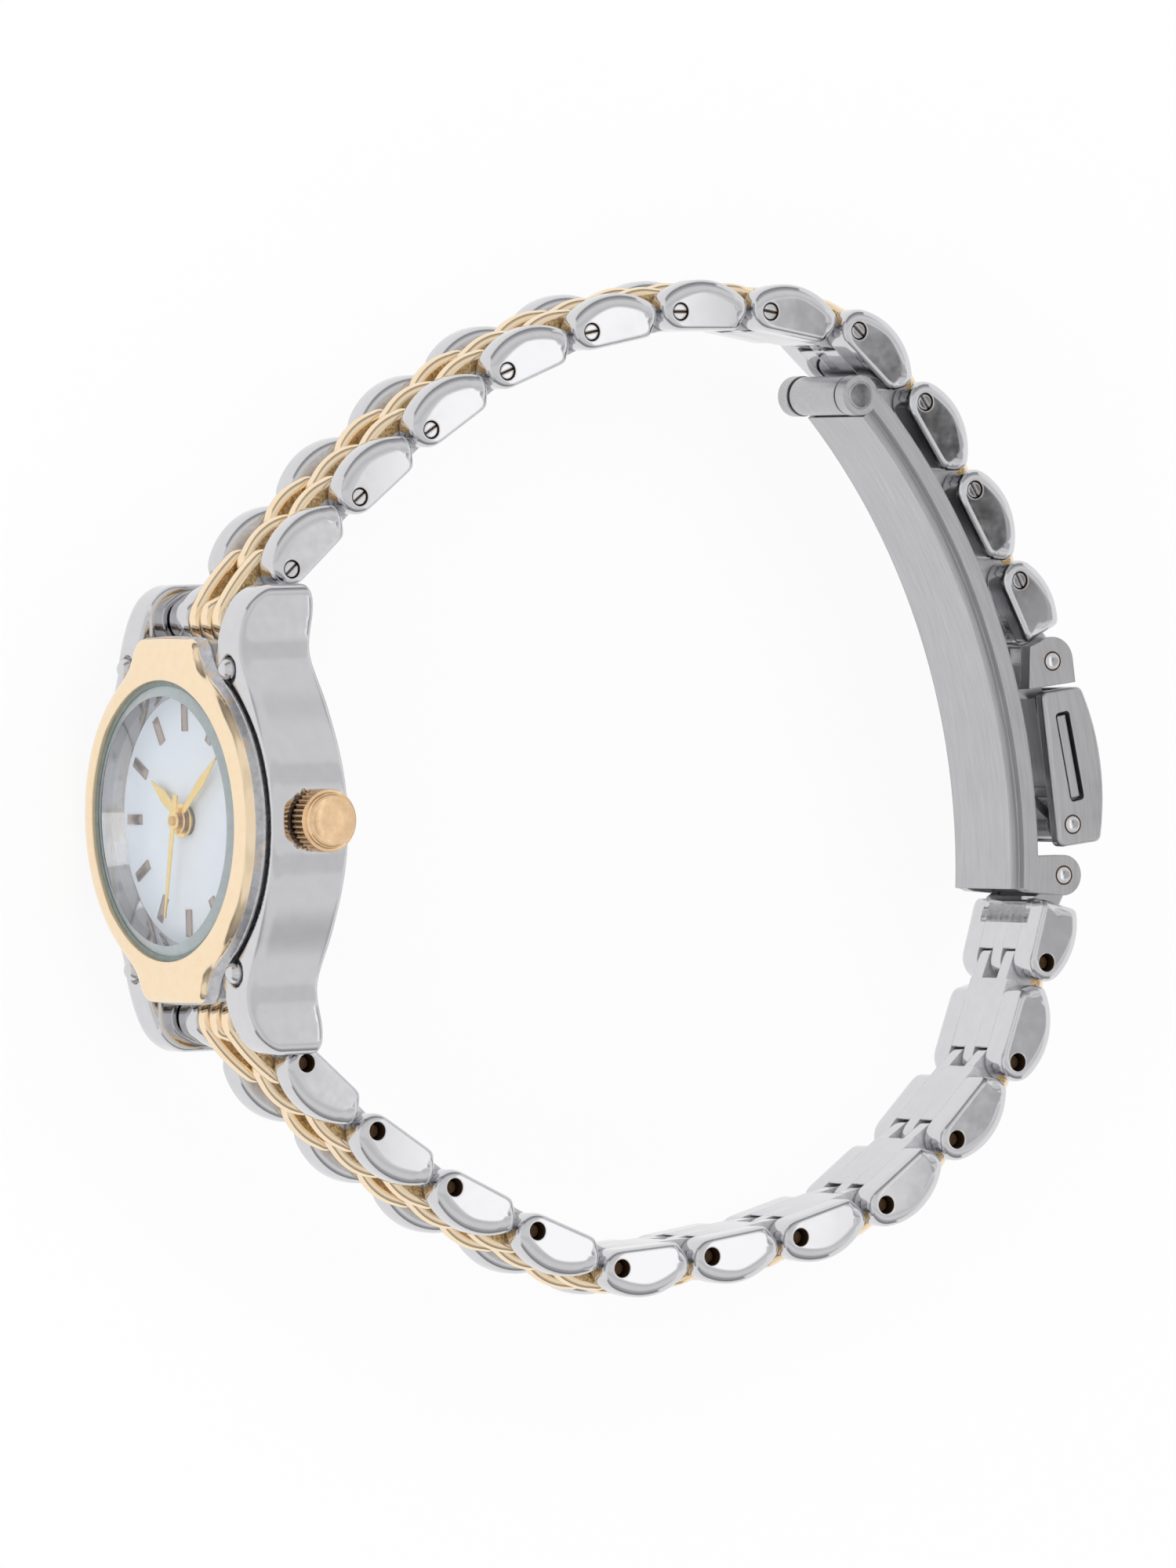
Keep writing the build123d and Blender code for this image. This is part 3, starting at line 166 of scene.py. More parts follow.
def softest(a, b, size, way):
    # The lower (way 1) or upper (way -1) of two distances, with the corner between them rounded over about size
    near = np.maximum(size - np.abs(a - b), 0) / size
    return way * (np.minimum(way * a, way * b) - near * near * size / 4)


def worn_line(points):
    # A line through points of (distance from the middle, x), its corners worn round over 1.5 mm
    spots = np.linspace(0, 15, 301)
    known = np.interp(np.abs(np.linspace(-3, 18, 421)), *zip(*points))
    weights = np.hanning(61)[1:-1]
    smooth = np.convolve(known, weights / weights.sum(), "same")[60:361]
    return lambda y: np.interp(np.abs(y), spots, smooth)


front_line = worn_line([(0, -6.05), (6.5, -6.03), (8.3, -5.98), (9.8, -6.15), (11.4, -5.9), (12.8, -5.32),
                        (13.6, -4.75), (14.3, -4.0), (16, -2.2)])
rear_line = worn_line([(0, -0.55), (7.4, -0.55), (10.1, -0.95), (12.7, -0.33), (14.2, -0.52), (16, -0.75)])
# Sizes in mm: x falls from the case back towards the crystal, y runs to 12 o'clock and z to the crown
case_radius, lug_outside, lug_inside, lug_reach, gap_start = 10.9, 7.1, 4.5, 14.2, 10.4
bezel_room, tab_room, bezel_seat = 10.32, 7.0, -5.25
bead_y, bead_z, dent_x, dent_radius = 9.15, 6.05, -6.25, 0.88
dial_bore, dial_ledge, movement_bore, back_bore, back_ledge = 8.5, -4.55, 7.9, 9.0, -1.25
crown_x, tube_hole, crown_recess, crown_seat = -2.85, 0.77, 2.05, 10.72
spring_bar_x, spring_bar_y, spring_bar_hole, hole_end = -2.65, 12.1, 0.43, 6.2


def case_distance(x, y, z):
    # How far a point is outside the case's surface, in mm, below 0 inside the steel; each softest wears one corner
    r, away_y, away_z, from_stem = np.hypot(y, z), np.abs(y), np.abs(z), np.hypot(x - crown_x, y)
    lugs = softest(away_y - lug_reach, away_z - lug_outside, 0.9, -1)
    solid = softest(r - case_radius, lugs, 3.2, 1)
    solid = softest(solid, front_line(y) - x, 0.95, -1)
    solid = softest(solid, x - rear_line(y), 0.5, -1)
    between_lugs = softest(away_z - lug_inside, gap_start - away_y, 0.3, -1)
    solid = softest(solid, -between_lugs, 0.45, -1)
    room = np.minimum(r - bezel_room, np.maximum(away_z - lug_inside, tab_room - away_y))
    solid = softest(solid, -np.maximum(room, x - bezel_seat), 0.3, -1)
    dents = np.sqrt((x - dent_x) ** 2 + (away_y - bead_y) ** 2 + (away_z - bead_z) ** 2) - dent_radius
    solid = softest(solid, -dents, 0.15, -1)
    solid = np.maximum(solid, -np.maximum(from_stem - crown_recess, crown_seat - z))
    bore = np.minimum(np.maximum(r - dial_bore, x - dial_ledge), r - movement_bore)
    bore = np.minimum(bore, np.maximum(r - back_bore, back_ledge - x))
    tube = np.maximum(from_stem - tube_hole, -z)
    bars = np.maximum(np.hypot(x - spring_bar_x, away_y - spring_bar_y) - spring_bar_hole, away_z - hole_end)
    return np.maximum(solid, -np.minimum(bore, np.minimum(tube, bars)))


def netted(distance, low, high, step):
    # A mesh where the distance is 0: one point in each grid box that the surface crosses, moved onto the surface
    axes = [np.arange(a, b + step, step) for a, b in zip(low, high)]
    grid = distance(*np.meshgrid(*axes, indexing="ij"))
    boxes = tuple(n - 1 for n in grid.shape)
    total, weight, crossings = np.zeros(boxes + (3,)), np.zeros(boxes), []
    for axis in range(3):
        # The grid lines along this axis: where the surface crosses each, and the four boxes that the line borders
        g, t, w = [np.moveaxis(field, axis, 0) for field in (grid, total, weight)]
        crossed = (g[:-1] < 0) != (g[1:] < 0)
        share = np.where(crossed, g[:-1] / np.where(crossed, g[:-1] - g[1:], 1), 0)
        others = [i for i in range(3) if i != axis]
        for da, db in ((0, 0), (0, 1), (1, 0), (1, 1)):
            view = (slice(None), slice(da, da + w.shape[1]), slice(db, db + w.shape[2]))
            w += crossed[view]
            t[..., axis] += share[view]
            t[..., others[0]] += crossed[view] * da
            t[..., others[1]] += crossed[view] * db
        crossings.append(np.moveaxis(crossed, 0, axis))
    used = weight > 0
    number = np.full(boxes, -1)
    number[used] = np.arange(used.sum())
    spots = (np.argwhere(used) + total[used] / weight[used][:, None]) * step + np.array(low)
    tiny = step * 0.02

    def sloped(spots):
        value = distance(*spots.T)
        return value, np.stack([(distance(*(spots + tiny * way).T) - value) / tiny for way in np.eye(3)], axis=1)

    for _ in range(4):
        value, slope = sloped(spots)
        push = slope * (value / np.maximum((slope * slope).sum(axis=1), 0.2))[:, None]
        spots -= np.clip(push, -0.4 * step, 0.4 * step)
    quads = []
    for axis, crossed in enumerate(crossings):
        u, v = (axis + 1) % 3, (axis + 2) % 3
        cells = np.argwhere(crossed)
        inner = (cells > 0) & (cells < np.array(grid.shape) - 1)
        cells = cells[inner[:, u] & inner[:, v]]
        back_u, back_v = np.eye(3, dtype=int)[[u, v]]
        ring = [number[tuple((cells - back).T)] for back in (back_u + back_v, back_v, back_u * 0, back_u)]
        quad = np.stack(ring, axis=1)
        flip = grid[tuple(cells.T)] >= 0
        quad[flip] = quad[flip][:, ::-1]
        quads.append(quad)
    slope = sloped(spots)[1]
    return spots, np.concatenate(quads), slope / np.linalg.norm(slope, axis=1)[:, None]


spots, quads, normals = netted(case_distance, low=(-6.45, -14.5, -11.2), high=(-0.2, 14.5, 11.2), step=0.155)
mesh = bpy.data.meshes.new("polished_case")
mesh.from_pydata((spots * mm).tolist(), [], quads.tolist())
mesh.materials.append(polished_steel)
mesh.shade_smooth()
mesh.normals_split_custom_set_from_vertices(normals.tolist())
case = bpy.data.objects.new("polished_case", mesh)
bpy.context.scene.collection.objects.link(case)
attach(case, "watch_head")
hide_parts("case_body")

# Beads: four steel balls on posts, pressed into the case beside the tabs of the bezel.
# They are tumbled bright, so each mirrors the whole room.


def whole(name, made, body, slot, *materials):
    # Makes a finished object of a bmesh, in place, with its normals outward and its crisp edges kept
    bmesh.ops.remove_doubles(made, verts=made.verts, dist=0.0005 * mm)
    bmesh.ops.recalc_face_normals(made, faces=made.faces)
    mesh = bpy.data.meshes.new(name)
    made.to_mesh(mesh)
    made.free()
    for material in materials:
        mesh.materials.append(material)
    mesh.shade_smooth()
    mesh.set_sharp_from_angle(angle=math.radians(32))
    piece = bpy.data.objects.new(name, mesh)
    bpy.context.scene.collection.objects.link(piece)
    if body:
        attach(piece, body)
    return piece


def lathe(made, profile, axis_point, steps):
    # Turns (along X, radius) points about a line along X through axis_point; a radius of 0 closes the end
    rings = []
    for x, radius in profile:
        if radius == 0:
            rings.append([made.verts.new(Vector(axis_point) + Vector((x, 0, 0)))] * steps)
            continue
        ring = []
        for k in range(steps):
            a = 2 * math.pi * k / steps
            ring.append(made.verts.new(Vector(axis_point) + Vector((x, radius * math.cos(a), radius * math.sin(a)))))
        rings.append(ring)
    for low, high in zip(rings, rings[1:]):
        for k in range(steps):
            j = (k + 1) % steps
            corners = []
            for v in (low[k], low[j], high[j], high[k]):
                if v not in corners:
                    corners.append(v)
            if len(corners) > 2:
                made.faces.new(corners)


bead_radius, post_radius, post_end, bead_x = 0.65 * mm, 0.29 * mm, 1.6 * mm, -6.0 * mm
profile = [(-bead_radius, 0)]
profile += [(-bead_radius * math.cos(math.pi * k / 14), bead_radius * math.sin(math.pi * k / 14)) for k in range(1, 12)]
profile += [(0.66 * mm, post_radius), (post_end, post_radius), (post_end, 0)]
made = bmesh.new()
for y in (bead_y, -bead_y):
    for z in (bead_z, -bead_z):
        lathe(made, profile, (bead_x, y * mm, z * mm), 32)
beads = whole("tumbled_beads", made, "watch_head", "polished_steel", polished_steel)
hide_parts("corner_beads")

# Bezel: a domed steel ring with a broad tab at 12 and at 6, plated in pale yellow gold and polished.
# It is pressed over the case, and its inner wall holds the crystal in its gasket.
plated_gold, tree, place = started("polished_pale_gold_plating")
ripple, haze = noise(tree, place, 2.6, 1.0), noise(tree, place, 0.8, 5.0)
shown(tree, coat(tree, blend(tree, haze, "#f7dcb6", "#fbe8cc"), ranged(tree, haze, 0.08, 0.2, 0.3, 0.75),
                 bumped(tree, ripple, 0.3, 0.01, edge=0.1), Metallic=1.0))

# The step of bare steel below the gold: blasted and never polished, so it is mottled, with gold strayed onto it
blasted_step, tree, place = started("blasted_steel_step")
grain, blot = noise(tree, place, 0.45, 6.0, 0.65), noise(tree, place, 1.6, 3.0)
steel = blend(tree, grain, "#85858a", "#e2e2e5")
shown(tree, coat(tree, blend(tree, ranged(tree, blot, 0.0, 0.6, 0.58, 0.7), steel, "#e0b98a"),
                 ranged(tree, grain, 0.18, 0.42), bumped(tree, grain, 0.5, 0.03), Metallic=1.0))

# A ring's outline with its tabs: radius of the ring, half the width of a tab and its reach, in mm
gold_outline, steel_outline = (9.83, 3.5, 10.95), (10.2, 4.1, 11.0)
bore, seat, front, ridge_x, crest = dial_bore * mm, bezel_seat * mm, -7.35 * mm, -6.12 * mm, 8.98 * mm
steps = 432


def bezel_reach(a, ring_radius, tab_half, tab_reach):
    # How far such an outline reaches at this angle: the tab's corners are rounded and it grows out of the ring in a
    # hollow
    low, high, corner = 8.0, 13.0, 0.7
    for _ in range(24):
        r = (low + high) / 2
        side_y, side_z = abs(r * math.cos(a)) - tab_reach + corner, abs(r * math.sin(a)) - tab_half + corner
        tab = math.hypot(max(side_y, 0), max(side_z, 0)) + min(max(side_y, side_z), 0) - corner
        if softest(tab, r - ring_radius, 2.0, 1) < 0:
            low = r
        else:
            high = r
    return low * mm


made = bmesh.new()
rings = []
for k in range(steps):
    a = 2 * math.pi * k / steps
    gold_edge, outer = bezel_reach(a, *gold_outline), bezel_reach(a, *steel_outline)
    profile = [(seat, bore), (front + 0.1 * mm, bore), (front + 0.03 * mm, bore + 0.03 * mm), (front, bore + 0.1 * mm),
               (front, crest - 0.15 * mm)]
    for s in (0.0, 0.15, 0.3, 0.45, 0.6, 0.72, 0.83, 0.91, 0.97, 1.0):
        fall = 0.62 * mm * (1 - math.sqrt(max(0, 1 - s * s)))
        profile.append((front + fall, crest + (gold_edge - crest) * s))
    gold_rings = len(profile)
    profile += [(front + 0.74 * mm, gold_edge), (front + 0.76 * mm, gold_edge + 0.03 * mm)]
    for x, drop in ((-0.06, 0.1), (-0.02, 0.02), (0.05, 0), (0.14, 0.04), (0.2, 0.12)):
        profile.append((ridge_x + x * mm, outer - drop * mm))
    profile.append((seat, outer - 0.12 * mm))
    rings.append([made.verts.new((x, r * math.cos(a), r * math.sin(a))) for x, r in profile])
for k in range(steps):
    a, b = rings[k], rings[(k + 1) % steps]
    for i in range(len(a)):
        j = (i + 1) % len(a)
        face = made.faces.new((a[i], a[j], b[j], b[i]))
        face.material_index = int(gold_rings < i < len(a) - 1)
bezel = whole("bezel_ring", made, "watch_head", "gold_tone", plated_gold, blasted_step)
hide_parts("bezel")

# Crystal: a flat disc of mineral glass, ground and polished, with a small bevel round its front edge.
# A translucent plastic gasket, seen as a grey-green line, grips it in the bezel.
crystal_glass, tree, place = started("polished_mineral_glass")
smear = noise(tree, place, 4, 3.0)
glass = coat(tree, linear("#fdfefe"), ranged(tree, smear, 0.0, 0.02, 0.4, 0.8), IOR=1.52, Transmission_Weight=1.0)
clear = put(tree, "ShaderNodeBsdfTransparent", {"Color": linear("#fcfdfd")})["BSDF"]
light = put(tree, "ShaderNodeLightPath")
shown(tree, put(tree, "ShaderNodeMixShader", {0: light["Is Shadow Ray"], 1: glass, 2: clear})["Shader"])

# The bevel is ground, not polished: it scatters the light to a pale grey-green
ground_glass, tree, place = started("ground_glass_bevel")
shown(tree, coat(tree, blend(tree, noise(tree, place, 0.6, 3.0), "#a7b1b4", "#bec8cb"), 0.3, IOR=1.52,
                 Transmission_Weight=0.25))

crystal_front, crystal_rear, crystal_radius, facet_radius = -7.25 * mm, -6.25 * mm, 8.2 * mm, 7.55 * mm
made = bmesh.new()
lathe(made, [(crystal_rear, 0), (crystal_rear, crystal_radius - 0.05 * mm), (crystal_rear - 0.05 * mm, crystal_radius),
             (crystal_front + 0.28 * mm, crystal_radius), (crystal_front + 0.02 * mm, facet_radius + 0.03 * mm),
             (crystal_front, facet_radius), (crystal_front, 0)], (0, 0, 0), 128)
for face in made.faces:
    middle = face.calc_center_median()
    if middle.x < crystal_rear - 0.1 * mm and math.hypot(middle.y, middle.z) > facet_radius:
        face.material_index = 1
crystal = whole("bevelled_crystal", made, "watch_head", "crystal_glass", crystal_glass, ground_glass)
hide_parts("crystal")

gasket_plastic, tree, place = started("translucent_grey_gasket_plastic")
shown(tree, coat(tree, blend(tree, noise(tree, place, 0.4, 3.0), "#66706f", "#8a9694"), 0.35, IOR=1.49,
                 Subsurface_Weight=0.2, Subsurface_Radius=(0.3 * mm,) * 3))
finish(gasket_plastic, "crystal_gasket")

# Seals: rings moulded from black nitrile rubber, one under the case back and one in the crown.
# They are squeezed between the steel parts, so nothing of them shows.
seal_rubber, tree, place = started("moulded_nitrile_rubber")
grain = noise(tree, place, 0.15, 4.0)
shown(tree, coat(tree, blend(tree, grain, "#1b1b1c", "#2c2c2e"), 0.7, bumped(tree, grain, 0.3, 0.01)))
finish(seal_rubber, "case_back_gasket", "crown_gasket")

# Rehaut: a turned ring between crystal and dial, plated bright silver, which mirrors the hour markers.
# It drops into the bore of the case before the bezel goes on.


def split(tree, spot):
    # The three coordinates of a spot
    return put(tree, "ShaderNodeSeparateXYZ", {"Vector": spot})


silver_ring, tree, place = started("bright_silver_plated_ring")
marks = noise(tree, split(tree, place)["X"], 0.12)
shown(tree, coat(tree, blend(tree, marks, "#b4b4b8", "#c2c2c6"), ranged(tree, marks, 0.02, 0.09), Metallic=1.0))
finish(silver_ring, "rehaut_ring")

# Dial: a brass disc under pale ice-white lacquer, faintly brushed in rays from its middle before it was sprayed.
# It lies on the movement, and the arbors of the hands come up through its middle.


def joined(tree, operation, first, second, **settings):
    # A sum, product or other step of two numbers
    return put(tree, "ShaderNodeMath", {0: first, 1: second}, operation=operation, **settings)["Value"]


dial_lacquer, tree, place = started("ice_white_dial_lacquer")
parts = split(tree, place)
rays = noise(tree, joined(tree, "ARCTAN2", parts["Z"], parts["Y"]), 25, 4.0)
shown(tree, coat(tree, blend(tree, rays, "#e9f0fc", "#f1f6ff"), 0.32, bumped(tree, rays, 0.12, 0.004), IOR=1.5,
                 Coat_Weight=0.4, Coat_Roughness=0.06))
finish(dial_lacquer, "dial")

# Hour markers: twelve batons stamped from brass, facetted along the middle and plated in dark rose bronze.
# Each has feet through the dial; Geometry Nodes set one baton round it twelve times.
dark_bronze, tree, place = started("dark_rose_bronze_plating")
haze = noise(tree, place, 2.5, 3.0)
shown(tree, coat(tree, blend(tree, haze, "#7a6c66", "#c2aea2"), ranged(tree, haze, 0.1, 0.24), Metallic=1.0))


def sizes_tree(name, sizes):
    # An empty Geometry Nodes tree with a mesh going in and out, and a named input for each size
    tree = bpy.data.node_groups.new(name, "GeometryNodeTree")
    tree.interface.new_socket("Geometry", in_out="INPUT", socket_type="NodeSocketGeometry")
    tree.interface.new_socket("Geometry", in_out="OUTPUT", socket_type="NodeSocketGeometry")
    for label, kind in sizes:
        tree.interface.new_socket(label, in_out="INPUT", socket_type="NodeSocket" + kind)
    return tree


def grown(name, mesh_piece, tree, values, body):
    # Runs a tree on a piece with these named sizes, keeps the result as a plain mesh and drops the modifier
    modifier = mesh_piece.modifiers.new("made", "NODES")
    modifier.node_group = tree
    for item in tree.interface.items_tree:
        if item.in_out == "INPUT" and item.name in values:
            modifier[item.identifier] = values[item.name]
    bpy.context.view_layer.update()
    result = mesh_piece.evaluated_get(bpy.context.evaluated_depsgraph_get())
    mesh = bpy.data.meshes.new_from_object(result)
    mesh_piece.modifiers.remove(modifier)
    mesh.name = name
    mesh.set_sharp_from_angle(angle=math.radians(32))
    piece = bpy.data.objects.new(name, mesh)
    bpy.context.scene.collection.objects.link(piece)
    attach(piece, body)
    return piece


marker_length, marker_width, marker_height, marker_middle = 1.65 * mm, 0.62 * mm, 0.2 * mm, 6.225 * mm
made = bmesh.new()
half, wide = marker_length / 2, marker_width / 2
foot = [made.verts.new((0, y, z)) for y, z in ((-half, -wide), (half, -wide), (half, wide), (-half, wide))]
brow = [made.verts.new((-0.11 * mm, v.co.y, v.co.z)) for v in foot]
ridge = [made.verts.new((-marker_height, y * (half - 0.16 * mm) / half, 0)) for y in (-half, half)]
for i in range(4):
    made.faces.new((foot[i], foot[(i + 1) % 4], brow[(i + 1) % 4], brow[i]))
made.faces.new(foot[::-1])
made.faces.new((brow[0], brow[1], ridge[1], ridge[0]))
made.faces.new((brow[1], brow[2], ridge[1]))
made.faces.new((brow[2], brow[3], ridge[0], ridge[1]))
made.faces.new((brow[3], brow[0], ridge[0]))
baton = whole("one_baton", made, None, None, dark_bronze)

tree = sizes_tree("batons_round_the_dial", [("How many", "Int"), ("Circle radius", "Float"), ("Dial face", "Float"),
                                            ("Plating", "Material")])
given = put(tree, "NodeGroupInput")
circle = put(tree, "GeometryNodeMeshCircle", {"Vertices": given["How many"], "Radius": given["Circle radius"]})
spot = split(tree, put(tree, "GeometryNodeInputPosition")["Position"])
upright = put(tree, "ShaderNodeCombineXYZ", {"X": given["Dial face"], "Y": spot["X"], "Z": spot["Y"]})
aim = put(tree, "ShaderNodeCombineXYZ", {"X": joined(tree, "ARCTAN2", spot["Y"], spot["X"])})
keep = tree.nodes.new("GeometryNodeCaptureAttribute")
keep.capture_items.new("VECTOR", "Aim")
tree.links.new(circle["Mesh"], keep.inputs[0])
tree.links.new(aim["Vector"], keep.inputs[1])
stood = put(tree, "GeometryNodeSetPosition", {"Geometry": keep.outputs[0], "Position": upright["Vector"]})
copies = put(tree, "GeometryNodeInstanceOnPoints", {"Points": stood["Geometry"], "Instance": given["Geometry"],
                                                    "Rotation": keep.outputs[1]})
real = put(tree, "GeometryNodeRealizeInstances", {"Geometry": copies["Instances"]})
painted = put(tree, "GeometryNodeSetMaterial", {"Geometry": real["Geometry"], "Material": given["Plating"]})
put(tree, "NodeGroupOutput", {"Geometry": painted["Geometry"]})
markers = grown("hour_batons", baton, tree, {"How many": 12, "Circle radius": marker_middle,
                                             "Dial face": -4.95 * mm, "Plating": dark_bronze},
                "watch_head")
bpy.data.objects.remove(baton)
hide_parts("hour_markers")

# Hands: stamped brass leaves, plated in a stronger yellow gold, pressed on three arbors one inside the other.
# They stand one above the other over the dial, each with a round boss at its middle.
hand_gold, tree, place = started("bright_yellow_gold_plating")
haze = noise(tree, place, 0.35, 3.0)
shown(tree, coat(tree, blend(tree, haze, "#efc872", "#fbdf98"), ranged(tree, haze, 0.12, 0.3), worn(tree, 0.04),
                 Metallic=1.0))
finish(hand_gold, "hour_hand", "minute_hand", "second_hand")

turned_brass, tree, place = started("lathe_turned_brass")
marks = noise(tree, split(tree, place)["X"], 0.05)
shown(tree, coat(tree, blend(tree, marks, "#c79f55", "#e0bf78"), 0.25, bumped(tree, marks, 0.3, 0.004), Metallic=1.0))
finish(turned_brass, "hour_pipe", "cannon_pinion", "seconds_arbor")

# Movement: a nickel-plated plate, a green glass-fibre circuit under its bridge, a steel cell held by a spring strap,
# a copper coil, and a moulded ring that centres it all in the case. None of it shows in the closed watch.
nickel_plate, tree, place = started("satin_nickel_plate")
stripe = put(tree, "ShaderNodeTexWave", {"Vector": place, "Scale": 1 / (9 * mm), "Distortion": 0.4},
             bands_direction="Y")["Fac"]
shown(tree, coat(tree, blend(tree, stripe, "#b3b1ab", "#c9c7c1"), ranged(tree, stripe, 0.22, 0.4), Metallic=1.0))
finish(nickel_plate, "movement_plate", "battery", "battery_clip", "stem")

circuit_board, tree, place = started("green_solder_mask_on_glass_fibre")
weave = put(tree, "ShaderNodeTexChecker", {"Vector": place, "Scale": 1 / (0.5 * mm)})["Fac"]
shown(tree, coat(tree, blend(tree, weave, "#14552f", "#1b6338"), 0.3, bumped(tree, weave, 0.1, 0.01), IOR=1.55))
finish(circuit_board, "circuit_bridge")

copper_wire, tree, place = started("enamelled_copper_winding")
turns = put(tree, "ShaderNodeTexWave", {"Vector": place, "Scale": 1 / (1.9 * mm)}, bands_direction="Z")["Fac"]
shown(tree, coat(tree, blend(tree, turns, "#7c3a1c", "#c46a3c"), 0.28, bumped(tree, turns, 0.6, 0.03), Metallic=1.0,
                 Coat_Weight=0.6))
finish(copper_wire, "coil")

white_acetal, tree, place = started("moulded_natural_acetal")
grain = noise(tree, place, 0.3)
shown(tree, coat(tree, blend(tree, grain, "#dcdcd4", "#e9e9e3"), 0.45, bumped(tree, grain, 0.15, 0.01), IOR=1.48))
finish(white_acetal, "movement_holder")

# Crown: turned brass plated in rose gold, knurled round its rim so that a fingertip can grip it.
# The knurl's grooves are painted dark brown as their shade; its smooth cap is rubbed dull by use.
rose_gold, tree, place = started("worn_rose_gold_plating")
haze = noise(tree, place, 0.5, 6.0, 0.65)
cloud = ranged(tree, haze, 0.0, 1.0, 0.35, 0.7)
shown(tree, coat(tree, blend(tree, cloud, "#eac498", "#f4d5af"), ranged(tree, cloud, 0.26, 0.19),
                 bumped(tree, haze, 0.1, 0.008, edge=0.06), Metallic=1.0))

# Painted shade: a dark brown laid where shade falls, in the knurl's grooves, the links' pin holes and the rims round
# the rivet heads
painted_shade_dark, tree, place = started("brass_painted_dark_as_shade")
shown(tree, coat(tree, blend(tree, noise(tree, place, 0.2, 4.0), "#2e2219", "#6b5038"), 0.5, Metallic=0.8))

stem_x, crown_start, crown_end, crown_radius = crown_x * mm, 11.0 * mm, 12.7 * mm, 1.9 * mm
tooth_count, tooth_depth = 34, 0.15 * mm
root, knurl_end, cap_radius = crown_radius - tooth_depth, crown_end - 0.55 * mm, 1.66 * mm
socket_radius, socket_end = 1.15 * mm, 11.8 * mm
made = bmesh.new()
profile = [(crown_start, socket_radius), (crown_start, root - 0.06 * mm), (crown_start + 0.06 * mm, root),
           (knurl_end, root), (knurl_end + 0.02 * mm, crown_radius - 0.05 * mm), (knurl_end + 0.07 * mm, crown_radius),
           (knurl_end + 0.12 * mm, crown_radius - 0.04 * mm), (knurl_end + 0.14 * mm, cap_radius + 0.04 * mm)]
for k in range(8):
    a = math.radians(90 * k / 7)
    profile.append((crown_end - 0.02 * mm - 0.28 * mm * (1 - math.sin(a)), cap_radius - 0.28 * mm * (1 - math.cos(a))))
profile += [(crown_end - 0.045 * mm, cap_radius - 0.36 * mm), (crown_end - 0.02 * mm, 0.7 * mm),
            (crown_end - 0.012 * mm, 0), (socket_end, 0), (socket_end, socket_radius), (crown_start, socket_radius)]
lathe(made, profile, (0, 0, 0), 136)
# The roots between the teeth get the painted shade
for face in made.faces:
    middle = face.calc_center_median()
    if math.hypot(middle.y, middle.z) < root + 0.01 * mm and crown_start < middle.x < knurl_end:
        face.material_index = 1
made.transform(Matrix(((0, 0, -1, stem_x), (0, 1, 0, 0), (1, 0, 0, 0), (0, 0, 0, 1))))
turned_body = whole("turned_crown_body", made, None, None, rose_gold, painted_shade_dark)


def skin(made, rings, index, start_cap=True, end_cap=True):
    # Joins rings of points with quads, closes the ends, and gives the rings and the faces
    loops = [[made.verts.new(p) for p in ring] for ring in rings]
    faces = []
    for low, high in zip(loops, loops[1:]):
        for k in range(len(low)):
            j = (k + 1) % len(low)
            faces.append(made.faces.new((low[k], low[j], high[j], high[k])))
    if start_cap:
        faces.append(made.faces.new(loops[0][::-1]))
    if end_cap:
        faces.append(made.faces.new(loops[-1]))
    for face in faces:
        face.material_index = index
    return loops, faces


made = bmesh.new()
tall = knurl_end - crown_start
base, tip = 0.105 * mm, 0.06 * mm
outline = [(root - 0.05 * mm, -base), (crown_radius - 0.03 * mm, -tip), (crown_radius, 0),
           (crown_radius - 0.03 * mm, tip), (root - 0.05 * mm, base)]
skin(made, [[(r, t, z) for r, t in outline] for z in (0.03 * mm, tall)], 0)
tooth = whole("one_knurl_tooth", made, None, None, rose_gold)

tree = sizes_tree("knurled_crown", [("Tooth", "Object"), ("Tooth count", "Int"), ("Stem place", "Vector"),
                                    ("Plating", "Material"), ("Grooves", "Material")])
given = put(tree, "NodeGroupInput")
line = put(tree, "GeometryNodeMeshLine", {"Count": given["Tooth count"], "Start Location": given["Stem place"],
                                          "Offset": (0, 0, 0)})
number = put(tree, "GeometryNodeInputIndex")["Index"]
share = joined(tree, "DIVIDE", number, given["Tooth count"])
aim = put(tree, "ShaderNodeCombineXYZ", {"Z": joined(tree, "MULTIPLY", share, 2 * math.pi)})
shape = put(tree, "GeometryNodeObjectInfo", {"Object": given["Tooth"]})
teeth = put(tree, "GeometryNodeInstanceOnPoints", {"Points": line["Mesh"], "Instance": shape["Geometry"],
                                                   "Rotation": aim["Vector"]})
real = put(tree, "GeometryNodeRealizeInstances", {"Geometry": teeth["Instances"]})
teeth = put(tree, "GeometryNodeSetMaterial", {"Geometry": real["Geometry"], "Material": given["Plating"]})
which = put(tree, "GeometryNodeInputMaterialIndex")[0]
dark = put(tree, "FunctionNodeCompare", {2: which, 3: 1}, data_type="INT", operation="EQUAL")
real = put(tree, "GeometryNodeRealizeInstances", {"Geometry": given["Geometry"]})
turned = put(tree, "GeometryNodeSetMaterial", {"Geometry": real["Geometry"], "Selection": dark["Result"],
                                               "Material": given["Grooves"]})
both = put(tree, "GeometryNodeJoinGeometry", {"Geometry": [turned["Geometry"], teeth["Geometry"]]})
put(tree, "NodeGroupOutput", {"Geometry": both["Geometry"]})
crown = grown("knurled_crown", turned_body, tree,
              {"Tooth": tooth, "Tooth count": tooth_count, "Stem place": (stem_x, 0, crown_start),
               "Plating": rose_gold, "Grooves": painted_shade_dark}, "crown")
for shape in (turned_body, tooth):
    bpy.data.objects.remove(shape)
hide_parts("crown")

# Spring bars and pins: hard drawn steel wire, bright from the die. They sit in drilled holes, and the clasp's ones
# are peened over at their ends.
finish(polished_steel, "spring_bar_12", "spring_bar_6", "bracket_spring_bar", "cover_hinge_pin", "base_blade_pins")

